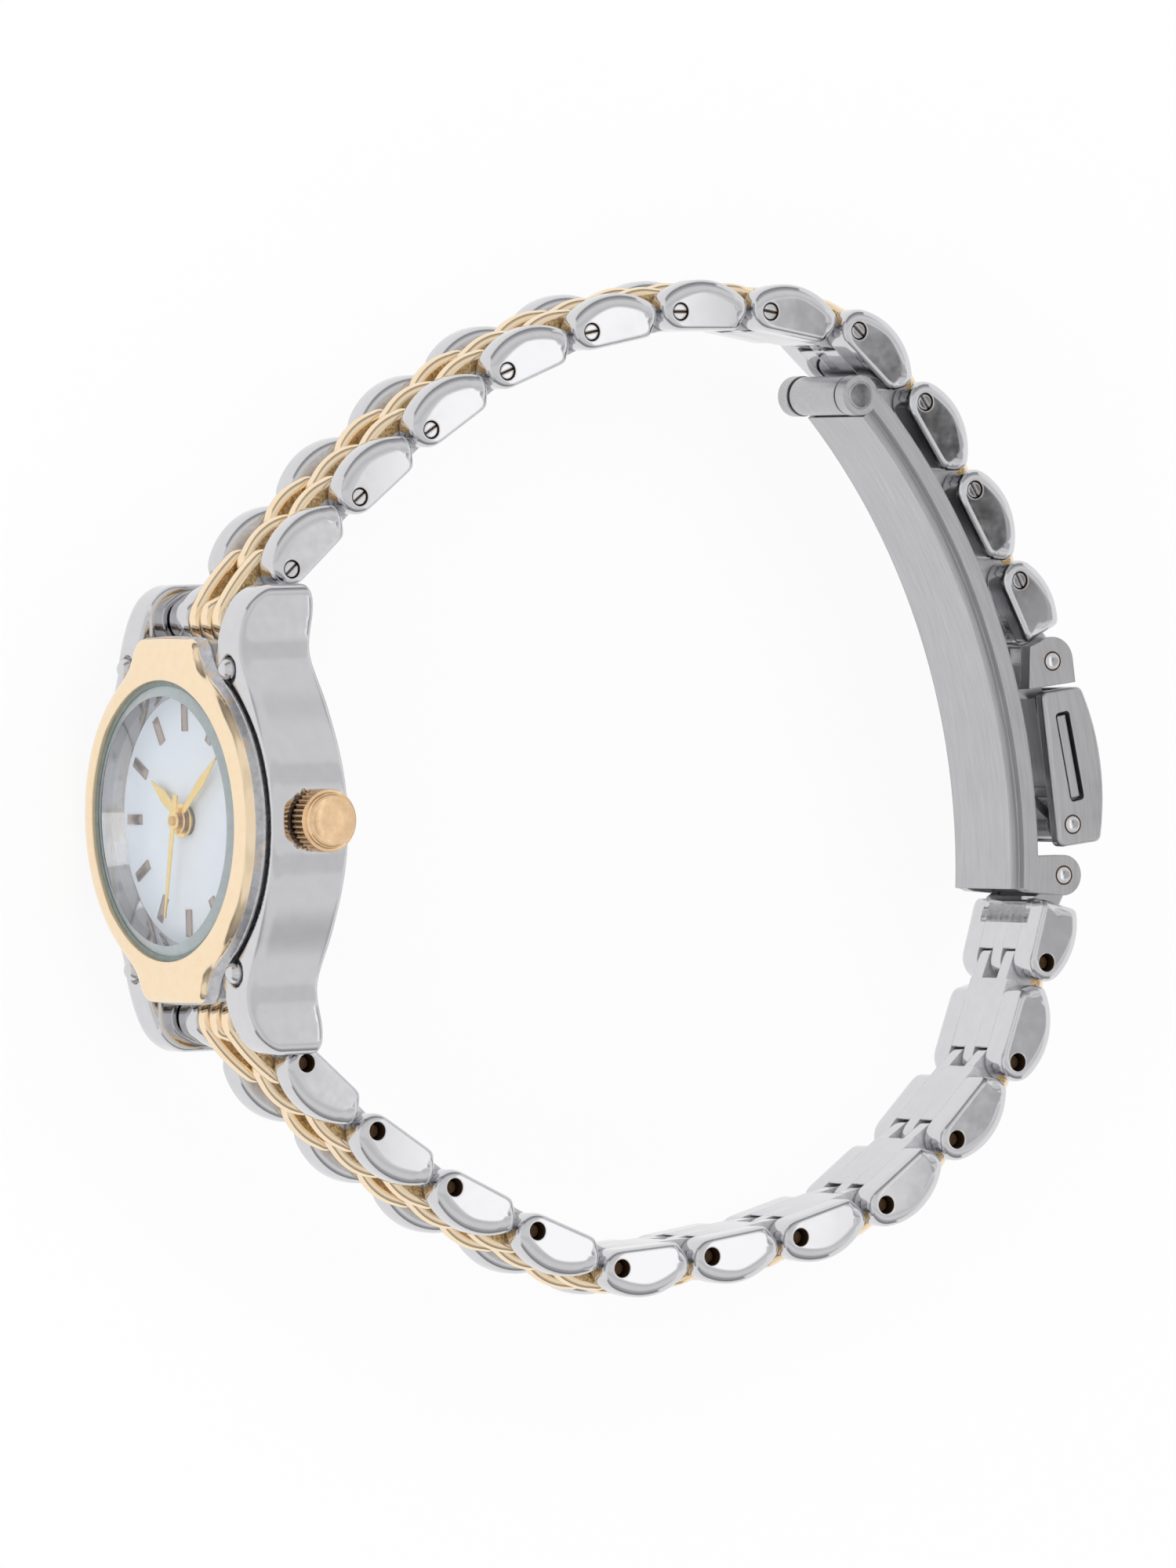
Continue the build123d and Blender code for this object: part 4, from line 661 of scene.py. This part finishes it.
# Links: each is two polished steel side bars and a plate that ties them, cast in one, and three raised ribs plated in
# gold. A screw-headed pin joins it to the link before; the ribs of neighbours mesh like a plait.
cast_gold, tree, place = started("gold_plating_on_cast_grain")
grain = noise(tree, place, 0.18, 6.0, 0.7)
deep = ranged(tree, grain, 0.0, 1.0, 0.38, 0.62)
shown(tree, coat(tree, blend(tree, deep, "#b08a55", "#ecd0a2"), ranged(tree, deep, 0.55, 0.32),
                 bumped(tree, grain, 0.8, 0.05), Metallic=1.0))

cast_steel, tree, place = started("steel_as_cast_between_ribs")
grain = noise(tree, place, 0.35, 5.0, 0.7)
shown(tree, coat(tree, blend(tree, grain, "#a9a9ac", "#e8e8ea"), ranged(tree, grain, 0.2, 0.45),
                 bumped(tree, grain, 0.5, 0.03), Metallic=0.4))

# Hole wall takes the painted shade of the pin holes
finishes = {"Rib gold": plated_gold, "Rib sides": cast_gold, "Bar steel": polished_steel, "Pin steel": polished_steel,
            "Plate steel": cast_steel, "Hole wall": painted_shade_dark}
rib_gold, rib_side, bar_steel, pin_steel, plate_steel, hole_wall = range(len(finishes))
link_pitch, last_length, wrist_side = 6.5 * mm, 5.6 * mm, 1.15 * mm
bar_in, bar_out, bar_high = 2.1 * mm, 4.15 * mm, 1.93 * mm
eye, rib_high, rib_over_pin, last_bar_end = 1.1 * mm, 1.8 * mm, 1.5 * mm, 3.8 * mm
hole_radius, hole_depth, plate_half = 0.54 * mm, 0.9 * mm, 2.12 * mm
middle_rib, outer_ribs = (-0.56 * mm, 0.56 * mm), ((0.84 * mm, 1.94 * mm), (-1.94 * mm, -0.84 * mm))
around = [(math.cos(2 * math.pi * k / 40), math.sin(2 * math.pi * k / 40)) for k in range(40)]


def arc(start, through, end, count):
    # Points on the circle through three points, from start to end
    a, b, c = [complex(*point) for point in (start, through, end)]
    w = (c - a) / (b - a)
    centre = a + (b - a) * (w - abs(w) ** 2) / (2j * w.imag)
    sweep, half_way = [cmath.phase((point - centre) / (a - centre)) % (2 * math.pi) for point in (c, b)]
    if half_way > sweep:
        sweep -= 2 * math.pi
    points = [centre + (a - centre) * cmath.exp(1j * sweep * k / count) for k in range(count + 1)]
    return [(point.real, point.imag) for point in points]


def softened(points, count, passes):
    # The closed outline with points evenly spaced, its corners worn round by averaging neighbours
    closed = np.array(points + points[:1])
    run = np.append(0, np.cumsum(np.linalg.norm(np.diff(closed, axis=0), axis=1)))
    even = np.stack([np.interp(np.arange(count) * run[-1] / count, run, side) for side in closed.T], axis=1)
    for _ in range(passes):
        even = (np.roll(even, 1, axis=0) + 2 * even + np.roll(even, -1, axis=0)) / 4
    return even.tolist()


def inward(points):
    # The unit normal into a closed outline at each of its points
    points = np.array(points)
    after, before = np.roll(points, -1, axis=0), np.roll(points, 1, axis=0)
    side = np.sign((points[:, 0] * after[:, 1] - after[:, 0] * points[:, 1]).sum())
    way = side * (after - before) / np.linalg.norm(after - before, axis=1)[:, None]
    return [(-dy, dx) for dx, dy in way.tolist()]


def domed(made, outline, z_start, z_end, widths, depth, spine_end, drilled=False):
    # A bar whose outline runs from z_start to z_end, with a domed bevel round its z_end face as wide as widths says,
    # and a pin hole there if it is drilled. The bevel runs in towards a line from the pin to spine_end, so it never
    # crosses itself.
    normals = []
    for x, y in outline:
        near = min(max(x, 0), spine_end)
        away = math.hypot(near - x, y)
        normals.append(((near - x) / away, -y / away))
    way = 1 if z_end > z_start else -1
    rings = []
    for inset, along in ((0.5, 0.0), (0.27, 0.1), (0.1, 0.28), (0.0, 0.6)):
        rings.append([(x + n[0] * inset * mm * max(0, -n[1]), y + n[1] * inset * mm * max(0, -n[1]),
                       z_start + way * along * mm) for (x, y), n in zip(outline, normals)])
    steepest = math.radians(76)
    for k in range(9):
        a = steepest * k / 8
        inset = (1 - math.cos(a)) / (1 - math.cos(steepest))
        rise = math.sin(a) / math.sin(steepest)
        rings.append([(x + n[0] * w * inset, y + n[1] * w * inset, z_end - way * depth * (1 - rise))
                      for (x, y), n, w in zip(outline, normals, widths)])
    rings.append([(x + n[0] * (w + 0.05 * mm), y + n[1] * (w + 0.05 * mm), z_end)
                  for (x, y), n, w in zip(outline, normals, widths)])
    loops, faces = skin(made, rings, bar_steel, end_cap=not drilled)
    for face in faces:
        if len(face.verts) > 4 and all(abs(v.co.z - z_start) < 0.001 * mm for v in face.verts):
            face.material_index = plate_steel
    if drilled:
        # The hole's wall is painted dark as shade
        levels = [(hole_radius + 0.03 * mm, 0.0), (hole_radius, 0.04 * mm), (hole_radius, hole_depth)]
        holes = [[(x * r, y * r, z_end - way * drop) for x, y in around] for r, drop in levels]
        rim = skin(made, holes, hole_wall, start_cap=False)[0][0]
        borders = [[made.edges.get((ring[k - 1], ring[k])) for k in range(len(ring))] for ring in (loops[-1], rim)]
        filled = bmesh.ops.triangle_fill(made, edges=borders[0] + borders[1], use_beauty=True, use_dissolve=False)
        for item in filled["geom"]:
            if isinstance(item, bmesh.types.BMFace):
                item.material_index = bar_steel


def bar_outline(last):
    # A side bar from the side: a round nose at the pin, a crowned back and a blunt tail
    points = arc((0, -wrist_side), (-0.175 * link_pitch, 0), (-0.09 * link_pitch, 0.66 * bar_high), 24)
    points += arc(points[-1], (0.385 * link_pitch, bar_high), (0.785 * link_pitch, 0.31 * bar_high), 40)[1:]
    points += [(0.775 * link_pitch, -0.05 * bar_high), (0.66 * link_pitch, -wrist_side)]
    if last:
        points = [p for p in points if p[0] < last_bar_end]
        points += [(last_bar_end, points[-1][1] - 0.05 * mm), (last_bar_end, -wrist_side)]
    return softened(points, 112, 5)


def bevel_widths(outline):
    # The bevel is broad along the back and at the tail and slight on the wrist side, and it keeps clear of the pin
    widths = []
    for (x, y), (nx, ny) in zip(outline, inward(outline)):
        wide = (0.26 + 0.52 * max(0, -ny) ** 0.7 + 0.6 * max(0, -nx) + 0.32 * max(0, nx)) * mm
        widths.append(min(wide, math.hypot(x, y) - hole_radius - 0.12 * mm))
    for _ in range(4):
        widths = [(widths[k - 1] + 2 * widths[k] + widths[(k + 1) % len(widths)]) / 4 for k in range(len(widths))]
    return widths


def crowned_rib(made, outline, z_low, z_high):
    # A rib across the strand with its outward edges rounded over, polished on top and rough at its sides
    normals = inward(outline)
    width = z_high - z_low
    levels = [(0.0, 2.3), (0.0, 1.6), (0.0, 1.0), (0.04, 0.62), (0.12, 0.3), (0.26, 0.08), (0.5, 0.0), (0.74, 0.08),
              (0.88, 0.3), (0.96, 0.62), (1.0, 1.0), (1.0, 1.6), (1.0, 2.3)]
    rings = []
    for t, inset in levels:
        ring = []
        for (x, y), (nx, ny) in zip(outline, normals):
            drop = 0.5 * mm * inset * max(0, -ny)
            ring.append((x + nx * drop, y + ny * drop, z_low + width * t))
        rings.append(ring)
    faces = skin(made, rings, rib_gold)[1]
    rough_bands = (0, 1, len(levels) - 3, len(levels) - 2)
    for k, face in enumerate(faces):
        if len(face.verts) > 4:
            face.material_index = plate_steel
        elif face.calc_center_median().y < -0.25 * mm:
            face.material_index = bar_steel
        elif k // len(outline) in rough_bands:
            face.material_index = rib_side


def wrapped(x, way):
    # The end of a rib from its top over a pin, round the pin to the wrist side
    turns = [math.radians(6 * k) for k in range(16)]
    over = [(x + way * eye * math.sin(a), rib_over_pin * math.cos(a)) for a in turns]
    turns = [math.radians(9 * k) for k in range(1, 11)]
    return over + [(x + way * eye * math.cos(a), -eye * math.sin(a)) for a in turns]


def link_mesh(last):
    # One link flat in its own frame: along the strand, then outward, then across
    made = bmesh.new()
    outline = bar_outline(last)
    widths = bevel_widths(outline)
    for side in (1, -1):
        domed(made, outline, side * bar_in, side * bar_out, widths, 0.6 * mm, 2.7 * mm if last else 3.9 * mm, True)
    # Plate on the wrist side, hollowed round the ribs of the link before and polished where it lies on the skin
    end = last_bar_end if last else 5.15 * mm
    hollow = eye + 0.12 * mm
    low_x = math.sqrt(hollow ** 2 - (wrist_side - 0.06 * mm) ** 2)
    plate = arc((hollow - 0.07 * mm, 0.4 * mm), (hollow, 0), (low_x, -wrist_side + 0.06 * mm), 12)
    plate += [(low_x + 0.12 * mm, -wrist_side), (end - 0.1 * mm, -wrist_side), (end, -wrist_side + 0.1 * mm),
              (end, -wrist_side + 0.4 * mm), (min(end, 0.7 * link_pitch), 0.4 * mm)]
    for face in skin(made, [[(x, y, z) for x, y in plate] for z in (-plate_half, plate_half)], plate_steel)[1]:
        if face.calc_center_median().y < -0.6 * mm and len(face.verts) == 4:
            face.material_index = bar_steel
    # Middle rib, which turns round this link's pin
    outline = wrapped(0, -1)
    outline += [(1.35 * mm, -wrist_side), (2.2 * mm, -wrist_side + 0.05 * mm), (4.45 * mm, 0)]
    outline += arc((0.7 * link_pitch, 0.25 * rib_high), (0.3 * link_pitch, rib_high), (0, rib_over_pin), 24)[:-1]
    crowned_rib(made, softened(outline, 80, 2), *middle_rib)
    if last:
        outline = arc((last_length, 1.2 * mm), (last_length + 1.2 * mm, 0), (last_length, -1.2 * mm), 24)
        outline += [(last_length - 1.2 * mm, -0.6 * mm), (last_bar_end, -wrist_side), (last_bar_end / 2, -wrist_side),
                    (last_bar_end / 2, 0.4 * mm)]
        skin(made, [[(x, y, z) for x, y in softened(outline, 72, 1)]
                    for z in (-2.7 * mm, -2.62 * mm, 2.62 * mm, 2.7 * mm)], bar_steel)
    else:
        outline = wrapped(link_pitch, 1)
        outline += [(5.15 * mm, -wrist_side), (4.9 * mm, -wrist_side), (0.32 * link_pitch, 0)]
        outline += arc((0.32 * link_pitch, 0.35 * rib_high), (0.76 * link_pitch, rib_high), (link_pitch, rib_over_pin),
                       24)[:-1]
        smooth = softened(outline, 84, 2)
        for z_low, z_high in outer_ribs:
            crowned_rib(made, smooth, z_low, z_high)
    # The pin: a slotted head on one side, a plain end deep in its hole on the other; its shaft is painted dark as shade
    # in the hole
    top, low_end, slot, radius = bar_out - 0.05 * mm, 0.6 * mm - bar_out, 0.075 * mm, 0.475 * mm
    start = math.asin(slot / radius)
    turns = [start + (math.pi - 2 * start) * k / 16 for k in range(17)]
    for way in (1, -1):
        chip = [(radius * math.cos(a), way * radius * math.sin(a)) for a in turns]
        rings = [[(x, y, z) for x, y in chip] for z in (top - 0.15 * mm, top - 0.03 * mm)]
        skin(made, rings + [[(x * 0.94, y * 0.94 + way * 0.004 * mm, top) for x, y in chip]], pin_steel)
    shaft = [(radius * math.cos(math.pi * k / 16), radius * math.sin(math.pi * k / 16)) for k in range(32)]
    skin(made, [[(x * share, y * share, z) for x, y in shaft]
                for share, z in ((0.8, low_end), (1, low_end + 0.1 * mm), (1, top - 0.15 * mm))], hole_wall)
    return made


plain = whole("plain_link_shape", link_mesh(False), None, None, *finishes.values())
ending = whole("last_link_shape", link_mesh(True), None, None, *finishes.values())

# The tree turns a link to its heading, over or not, sets it on its pin, and gives each finish its material
tree = sizes_tree("link_on_its_pin", [("Pin centre", "Vector"), ("Turn", "Vector")]
                  + [(label, "Material") for label in finishes])
given = put(tree, "NodeGroupInput")
which = put(tree, "GeometryNodeInputMaterialIndex")[0]
tagged = put(tree, "GeometryNodeStoreNamedAttribute", {"Geometry": given["Geometry"], "Name": "finish", "Value": which},
             data_type="INT", domain="FACE")
instance = put(tree, "GeometryNodeGeometryToInstance", {"Geometry": [tagged["Geometry"]]})
set_down = put(tree, "GeometryNodeTransform", {"Geometry": instance["Instances"],
                                               "Translation": given["Pin centre"], "Rotation": given["Turn"]})
flow = put(tree, "GeometryNodeRealizeInstances", {"Geometry": set_down["Geometry"]})["Geometry"]
tag = put(tree, "GeometryNodeInputNamedAttribute", {"Name": "finish"}, data_type="INT")
for value, label in enumerate(finishes):
    chosen = put(tree, "FunctionNodeCompare", {2: tag["Attribute"], 3: value}, data_type="INT", operation="EQUAL")
    flow = put(tree, "GeometryNodeSetMaterial", {"Geometry": flow, "Selection": chosen["Result"],
                                                 "Material": given[label]})["Geometry"]
put(tree, "NodeGroupOutput", {"Geometry": flow})

headings = {1: (51.0, 41.0, 37.5, 32.0, 20.5, 10.0, -1.0, -11.5, -43.5, -57.5, -61.0, -64.5),
            -1: (-46.0, -41.5, -34.0, -26.5, -23.0, 4.0, 8.0, 15.5, 36.0, 45.0, 69.5, 73.0)}
strand_names = {1: "upper", -1: "lower"}
end_length = 3.8 * mm


def hung(name, shape, node, side, x, y, heading):
    # A shape set on its pin, turned to its heading, in place of a CAD node
    values = {**finishes, "Pin centre": (x, y, 0), "Turn": (0 if side == 1 else math.pi, 0, math.radians(heading))}
    piece = grown(name, shape, tree, values, node)
    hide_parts(node)


for side, turns in headings.items():
    x, y, step = spring_bar_x * mm, side * spring_bar_y * mm, end_length
    for number, heading in enumerate(turns):
        if number:
            name = f"{strand_names[side]}_bracelet_link_{number:02d}"
            hung(name, ending if number == 11 else plain, name.replace("bracelet_", ""), side, x, y, heading)
            step = link_pitch
        x, y = x + step * math.cos(math.radians(heading)), y + step * math.sin(math.radians(heading))

# End links: the same make as the links, shorter, with a barrel that the spring bar passes through between the lugs.
# Their outer ribs reach on to the pin of the first link.
made = bmesh.new()
barrel, shoulder_out = 1.5 * mm, 4.25 * mm
outline = arc((0, barrel), (-barrel, 0), (0, -barrel), 24)
outline += [(2.25 * mm, -wrist_side), (2.25 * mm, 0.575 * mm), (1.125 * mm, 1.15 * mm)]
outline = softened(outline, 88, 3)
for side in (1, -1):
    domed(made, outline, side * bar_in, side * shoulder_out, [0.3 * mm] * len(outline), 0.3 * mm, 1.1 * mm)
core = softened([(-1.3 * mm, 0), (0, -1.3 * mm), (2.2 * mm, -1.1 * mm), (2.2 * mm, 0.35 * mm), (0, 1.3 * mm)], 60, 2)
skin(made, [[(x, y, z) for x, y in core] for z in (-plate_half, plate_half)], plate_steel)
rib_round = 1.6 * mm
outline = arc((0, rib_round), (-rib_round, 0), (0, -rib_round), 24)
outline += [(2.2 * mm, -wrist_side), (2.25 * mm, 0.5 * mm)]
crowned_rib(made, softened(outline, 80, 2), *middle_rib)
outline = arc((0, rib_round), (-rib_round, 0), (0, -rib_round), 24)
outline += wrapped(end_length, 1)[::-1]
outline += arc((end_length, rib_over_pin), (end_length / 2, 1.7 * mm), (0, rib_round), 12)[1:-1]
outline = softened(outline, 96, 2)
for z_low, z_high in outer_ribs:
    crowned_rib(made, outline, z_low, z_high)
end_shape = whole("end_link_shape", made, None, None, *finishes.values())
for side, node in ((1, "end_link_12"), (-1, "end_link_6")):
    hung("bracelet_" + node, end_shape, node, side, spring_bar_x * mm, side * spring_bar_y * mm, headings[side][0])
for shape in (plain, ending, end_shape):
    bpy.data.objects.remove(shape)

# Clasp: bracket, cover, adjuster bar and two blades, pressed from steel sheet and brushed to a satin along their
# length. They fold over each other on riveted pins. The drawn lines follow the blades' curve, 0.12 mm apart.
satin_steel, tree, place = started("satin_brushed_stainless_steel")
blade_middle = (10.08 * mm, -3.71 * mm, 0)
centred = put(tree, "ShaderNodeVectorMath", {0: place, 1: blade_middle}, operation="SUBTRACT")["Vector"]
parts = split(tree, centred)
sweep = joined(tree, "MULTIPLY", joined(tree, "ARCTAN2", parts["Y"], parts["X"]), 2 * mm)
strip = put(tree, "ShaderNodeCombineXYZ", {"X": reach_from(tree, centred, (1, 1, 0)), "Y": sweep, "Z": parts["Z"]})
lines, wear = noise(tree, strip["Vector"], 0.12, 3.0), noise(tree, place, 3, 3.0)
shown(tree, coat(tree, blend(tree, lines, "#adacae", "#cccbcd"), ranged(tree, wear, 0.26, 0.4, 0.3, 0.7),
                 bumped(tree, lines, 0.5, 0.008, edge=0.13), Metallic=1.0))
finish(satin_steel, "clasp_bracket", "clasp_cover", "adjuster_bar", "fold_blade", "base_blade")

# Rivet heads: each pin is peened to a low dome at both ends, in a countersink whose dark ring is painted shade
for node, body, low_y, high_y in (("bracket_spring_bar", "clasp_cover", -1, 1),
                                  ("cover_hinge_pin", "clasp_cover", -1, 1), ("base_blade_pins", "base_blade", -1, 0)):
    spots = [nodes[node].matrix_world @ v.co for v in nodes[node].data.vertices]
    xs, ys, zs = zip(*[spot for spot in spots if low_y < spot.y < high_y])
    middle_x, middle_y, radius = (min(xs) + max(xs)) / 2, (min(ys) + max(ys)) / 2, (max(xs) - min(xs)) / 2
    inner, outer = radius - 0.05 * mm, radius + 0.06 * mm
    rim = [(outer, -0.05), (outer, 0.006), (inner + 0.01 * mm, 0.01), (inner, -0.05)]
    head = [(inner, -0.05), (inner, 0.02), (0.85 * radius, 0.045), (0.6 * radius, 0.07), (0.3 * radius, 0.085),
            (0.05 * radius, 0.09)]
    made = bmesh.new()
    for face_z, way in ((max(zs), 1), (min(zs), -1)):
        for levels, index in ((rim, 1), (head, 0)):
            skin(made, [[(middle_x + x * r, middle_y + y * r, face_z + way * rise * mm) for x, y in around]
                        for r, rise in levels], index, start_cap=False, end_cap=index == 0)
    whole("rivet_heads_of_" + node, made, body, "polished_steel", polished_steel, painted_shade_dark)

# Studio: a white table, a soft light all round, and a wide softbox overhead that the polished faces mirror.
# Grey boards stand to the two ends, so that the bevels of the links read against their faces.


def looked_at(tree):
    # 1 for what the camera, a mirror or glass sees, 0 for other light
    light = put(tree, "ShaderNodeLightPath")
    seen = joined(tree, "ADD", light["Is Camera Ray"], light["Is Glossy Ray"])
    return joined(tree, "ADD", seen, light["Is Transmission Ray"], use_clamp=True)


def glowing(tree, kind, strength):
    # A white glow, of a sheet or of the world
    return put(tree, kind, {"Color": (1, 1, 1, 1), "Strength": strength})[0]


def between(tree, share, first, second):
    # The first shader where share is 0, the second where it is 1
    return put(tree, "ShaderNodeMixShader", {0: share, 1: first, 2: second})["Shader"]


def sheet(name, material, corners):
    # A flat sheet of the studio
    made = bmesh.new()
    made.faces.new([made.verts.new(corner) for corner in corners])
    mesh = bpy.data.meshes.new(name)
    made.to_mesh(mesh)
    made.free()
    mesh.materials.append(material)
    piece = bpy.data.objects.new(name, mesh)
    bpy.context.scene.collection.objects.link(piece)
    return piece


world = bpy.data.worlds.new("soft_white_room")
bpy.context.scene.world = world
world.use_nodes = True
tree = world.node_tree
tree.nodes.clear()
room, white = [glowing(tree, "ShaderNodeBackground", strength) for strength in (0.8, 1.0)]
put(tree, "ShaderNodeOutputWorld", {"Surface": between(tree, looked_at(tree), room, white)})

table_white, tree, place = started("matt_white_table")
paper = blend(tree, noise(tree, place, 1.5), "#f6f6f7", "#fafafb")
matt = put(tree, "ShaderNodeBsdfDiffuse", {"Color": paper})["BSDF"]
shown(tree, between(tree, joined(tree, "MULTIPLY", looked_at(tree), 0.86), matt,
                    glowing(tree, "ShaderNodeEmission", 1.0)))
square = ((-1, -1), (1, -1), (1, 1), (-1, 1))
reach, floor_z = 1.5, cad_box[0][2] - 0.02 * mm
table = sheet("table", table_white, [(x * reach, y * reach, floor_z) for x, y in square])

object_middle = Vector((25 * mm, 0, 0))
for name, spot, power in (("key_panel", (0.02, 0.1, 0.35), 0.3), ("fill_panel", (-0.35, -0.05, 0.2), 0.42)):
    data = bpy.data.lights.new(name, "AREA")
    data.energy = power
    data.shape = "SQUARE"
    data.size = 0.3
    lamp = bpy.data.objects.new(name, data)
    lamp.location = spot
    lamp.rotation_euler = (object_middle - Vector(spot)).to_track_quat("-Z", "Y").to_euler()
    lamp.visible_glossy = False
    bpy.context.scene.collection.objects.link(lamp)

# The softbox: cloth lit from behind, brightest over the middle and dimmer in soft bands, 0.2 m up
softbox_cloth, tree, place = started("backlit_softbox_cloth")
parts = split(tree, place)


def faded(value, start, end, before, after):
    # A soft step: before at start, after at end
    return ranged(tree, value, before, after, start, end, interpolation_type="SMOOTHSTEP")


def times(first, *others):
    # The product of two numbers or more
    for other in others:
        first = joined(tree, "MULTIPLY", first, other)
    return first


def dimmed(value, amount):
    # 1 less this much of a value
    return joined(tree, "SUBTRACT", 1.0, joined(tree, "MULTIPLY", value, amount))


def apart(value, middle):
    # How far a value is from a middle one
    return joined(tree, "ABSOLUTE", joined(tree, "SUBTRACT", value, middle), 0.0)


across, along = parts["X"], parts["Y"]
beside = joined(tree, "ABSOLUTE", along, 0.0)
middle = times(faded(across, 0.119, 0.128, 0.0, 1.0), faded(beside, 0.048, 0.066, 1.0, 0.0))
base = joined(tree, "ADD", times(middle, 0.58), 0.84)
upper_end = times(faded(across, 0.146, 0.16, 0.0, 1.0), faded(along, -0.022, -0.012, 0.0, 1.0),
                  faded(along, 0.045, 0.06, 1.0, 0.0))
lower_end = times(faded(across, 0.157, 0.173, 0.0, 1.0), faded(along, -0.06, -0.045, 0.0, 1.0),
                  faded(along, 0.0, 0.012, 1.0, 0.0))
right_end = joined(tree, "MAXIMUM", upper_end, lower_end)
flag = times(faded(apart(across, 0.171), 0.005, 0.012, 1.0, 0.0), faded(apart(along, 0.018), 0.007, 0.014, 1.0, 0.0))
band = times(faded(beside, 0.07, 0.085, 0.0, 1.0), faded(beside, 0.13, 0.15, 1.0, 0.0))
outer = faded(beside, 0.24, 0.36, 0.0, 0.45)
dimmer = times(dimmed(right_end, 0.62), dimmed(flag, 0.82), dimmed(band, 0.13), joined(tree, "SUBTRACT", 1.0, outer))
strength = times(base, dimmer)
shown(tree, glowing(tree, "ShaderNodeEmission", strength))

grey_board, tree, place = started("grey_studio_board")
shown(tree, glowing(tree, "ShaderNodeEmission", faded(split(tree, place)["Z"], 0.0, 0.3, 0.22, 0.5)))
half, high, low, top = 0.5, 0.2, -0.01, 0.32
boards = [sheet("softbox", softbox_cloth, [(x * half, y * half, high) for x, y in square])]
for name, y in (("board_at_6", -half), ("board_at_12", half)):
    boards.append(sheet(name, grey_board, [(x * half, y, low if z < 0 else top) for x, z in square]))
for board in boards:
    board.visible_camera = board.visible_diffuse = board.visible_transmission = board.visible_shadow = False

# Camera: the photograph was taken 31.5 degrees round from square to the bracelet's edge, from 1.2 m.
# Its lens gives 21.1 pixels per millimetre there, in an image 1500 pixels wide.
focal_pixels, image_width, sensor = 25320, 1500, 36
yaw, rise, roll = math.radians(31.5), math.radians(1.2), math.radians(1.3)
ahead = Vector((math.sin(yaw) * math.cos(rise), -math.sin(rise), -math.cos(yaw) * math.cos(rise)))
right = Vector((math.cos(yaw), 0, math.sin(yaw)))
up = right.cross(ahead)
right, up = right * math.cos(roll) - up * math.sin(roll), right * math.sin(roll) + up * math.cos(roll)
camera_data = bpy.data.cameras.new("camera")
camera_data.sensor_fit = "HORIZONTAL"
camera_data.sensor_width = sensor
camera_data.lens = focal_pixels / image_width * sensor
camera_data.clip_start = 0.05
camera_data.clip_end = 10
camera = bpy.data.objects.new("camera", camera_data)
spot = Vector((-612.19, 26.8, 1036.4)) * mm
camera.matrix_world = Matrix(((right.x, up.x, -ahead.x, spot.x), (right.y, up.y, -ahead.y, spot.y),
                              (right.z, up.z, -ahead.z, spot.z), (0, 0, 0, 1)))
bpy.context.scene.collection.objects.link(camera)
bpy.context.scene.camera = camera
bpy.context.scene.view_settings.view_transform = "Standard"
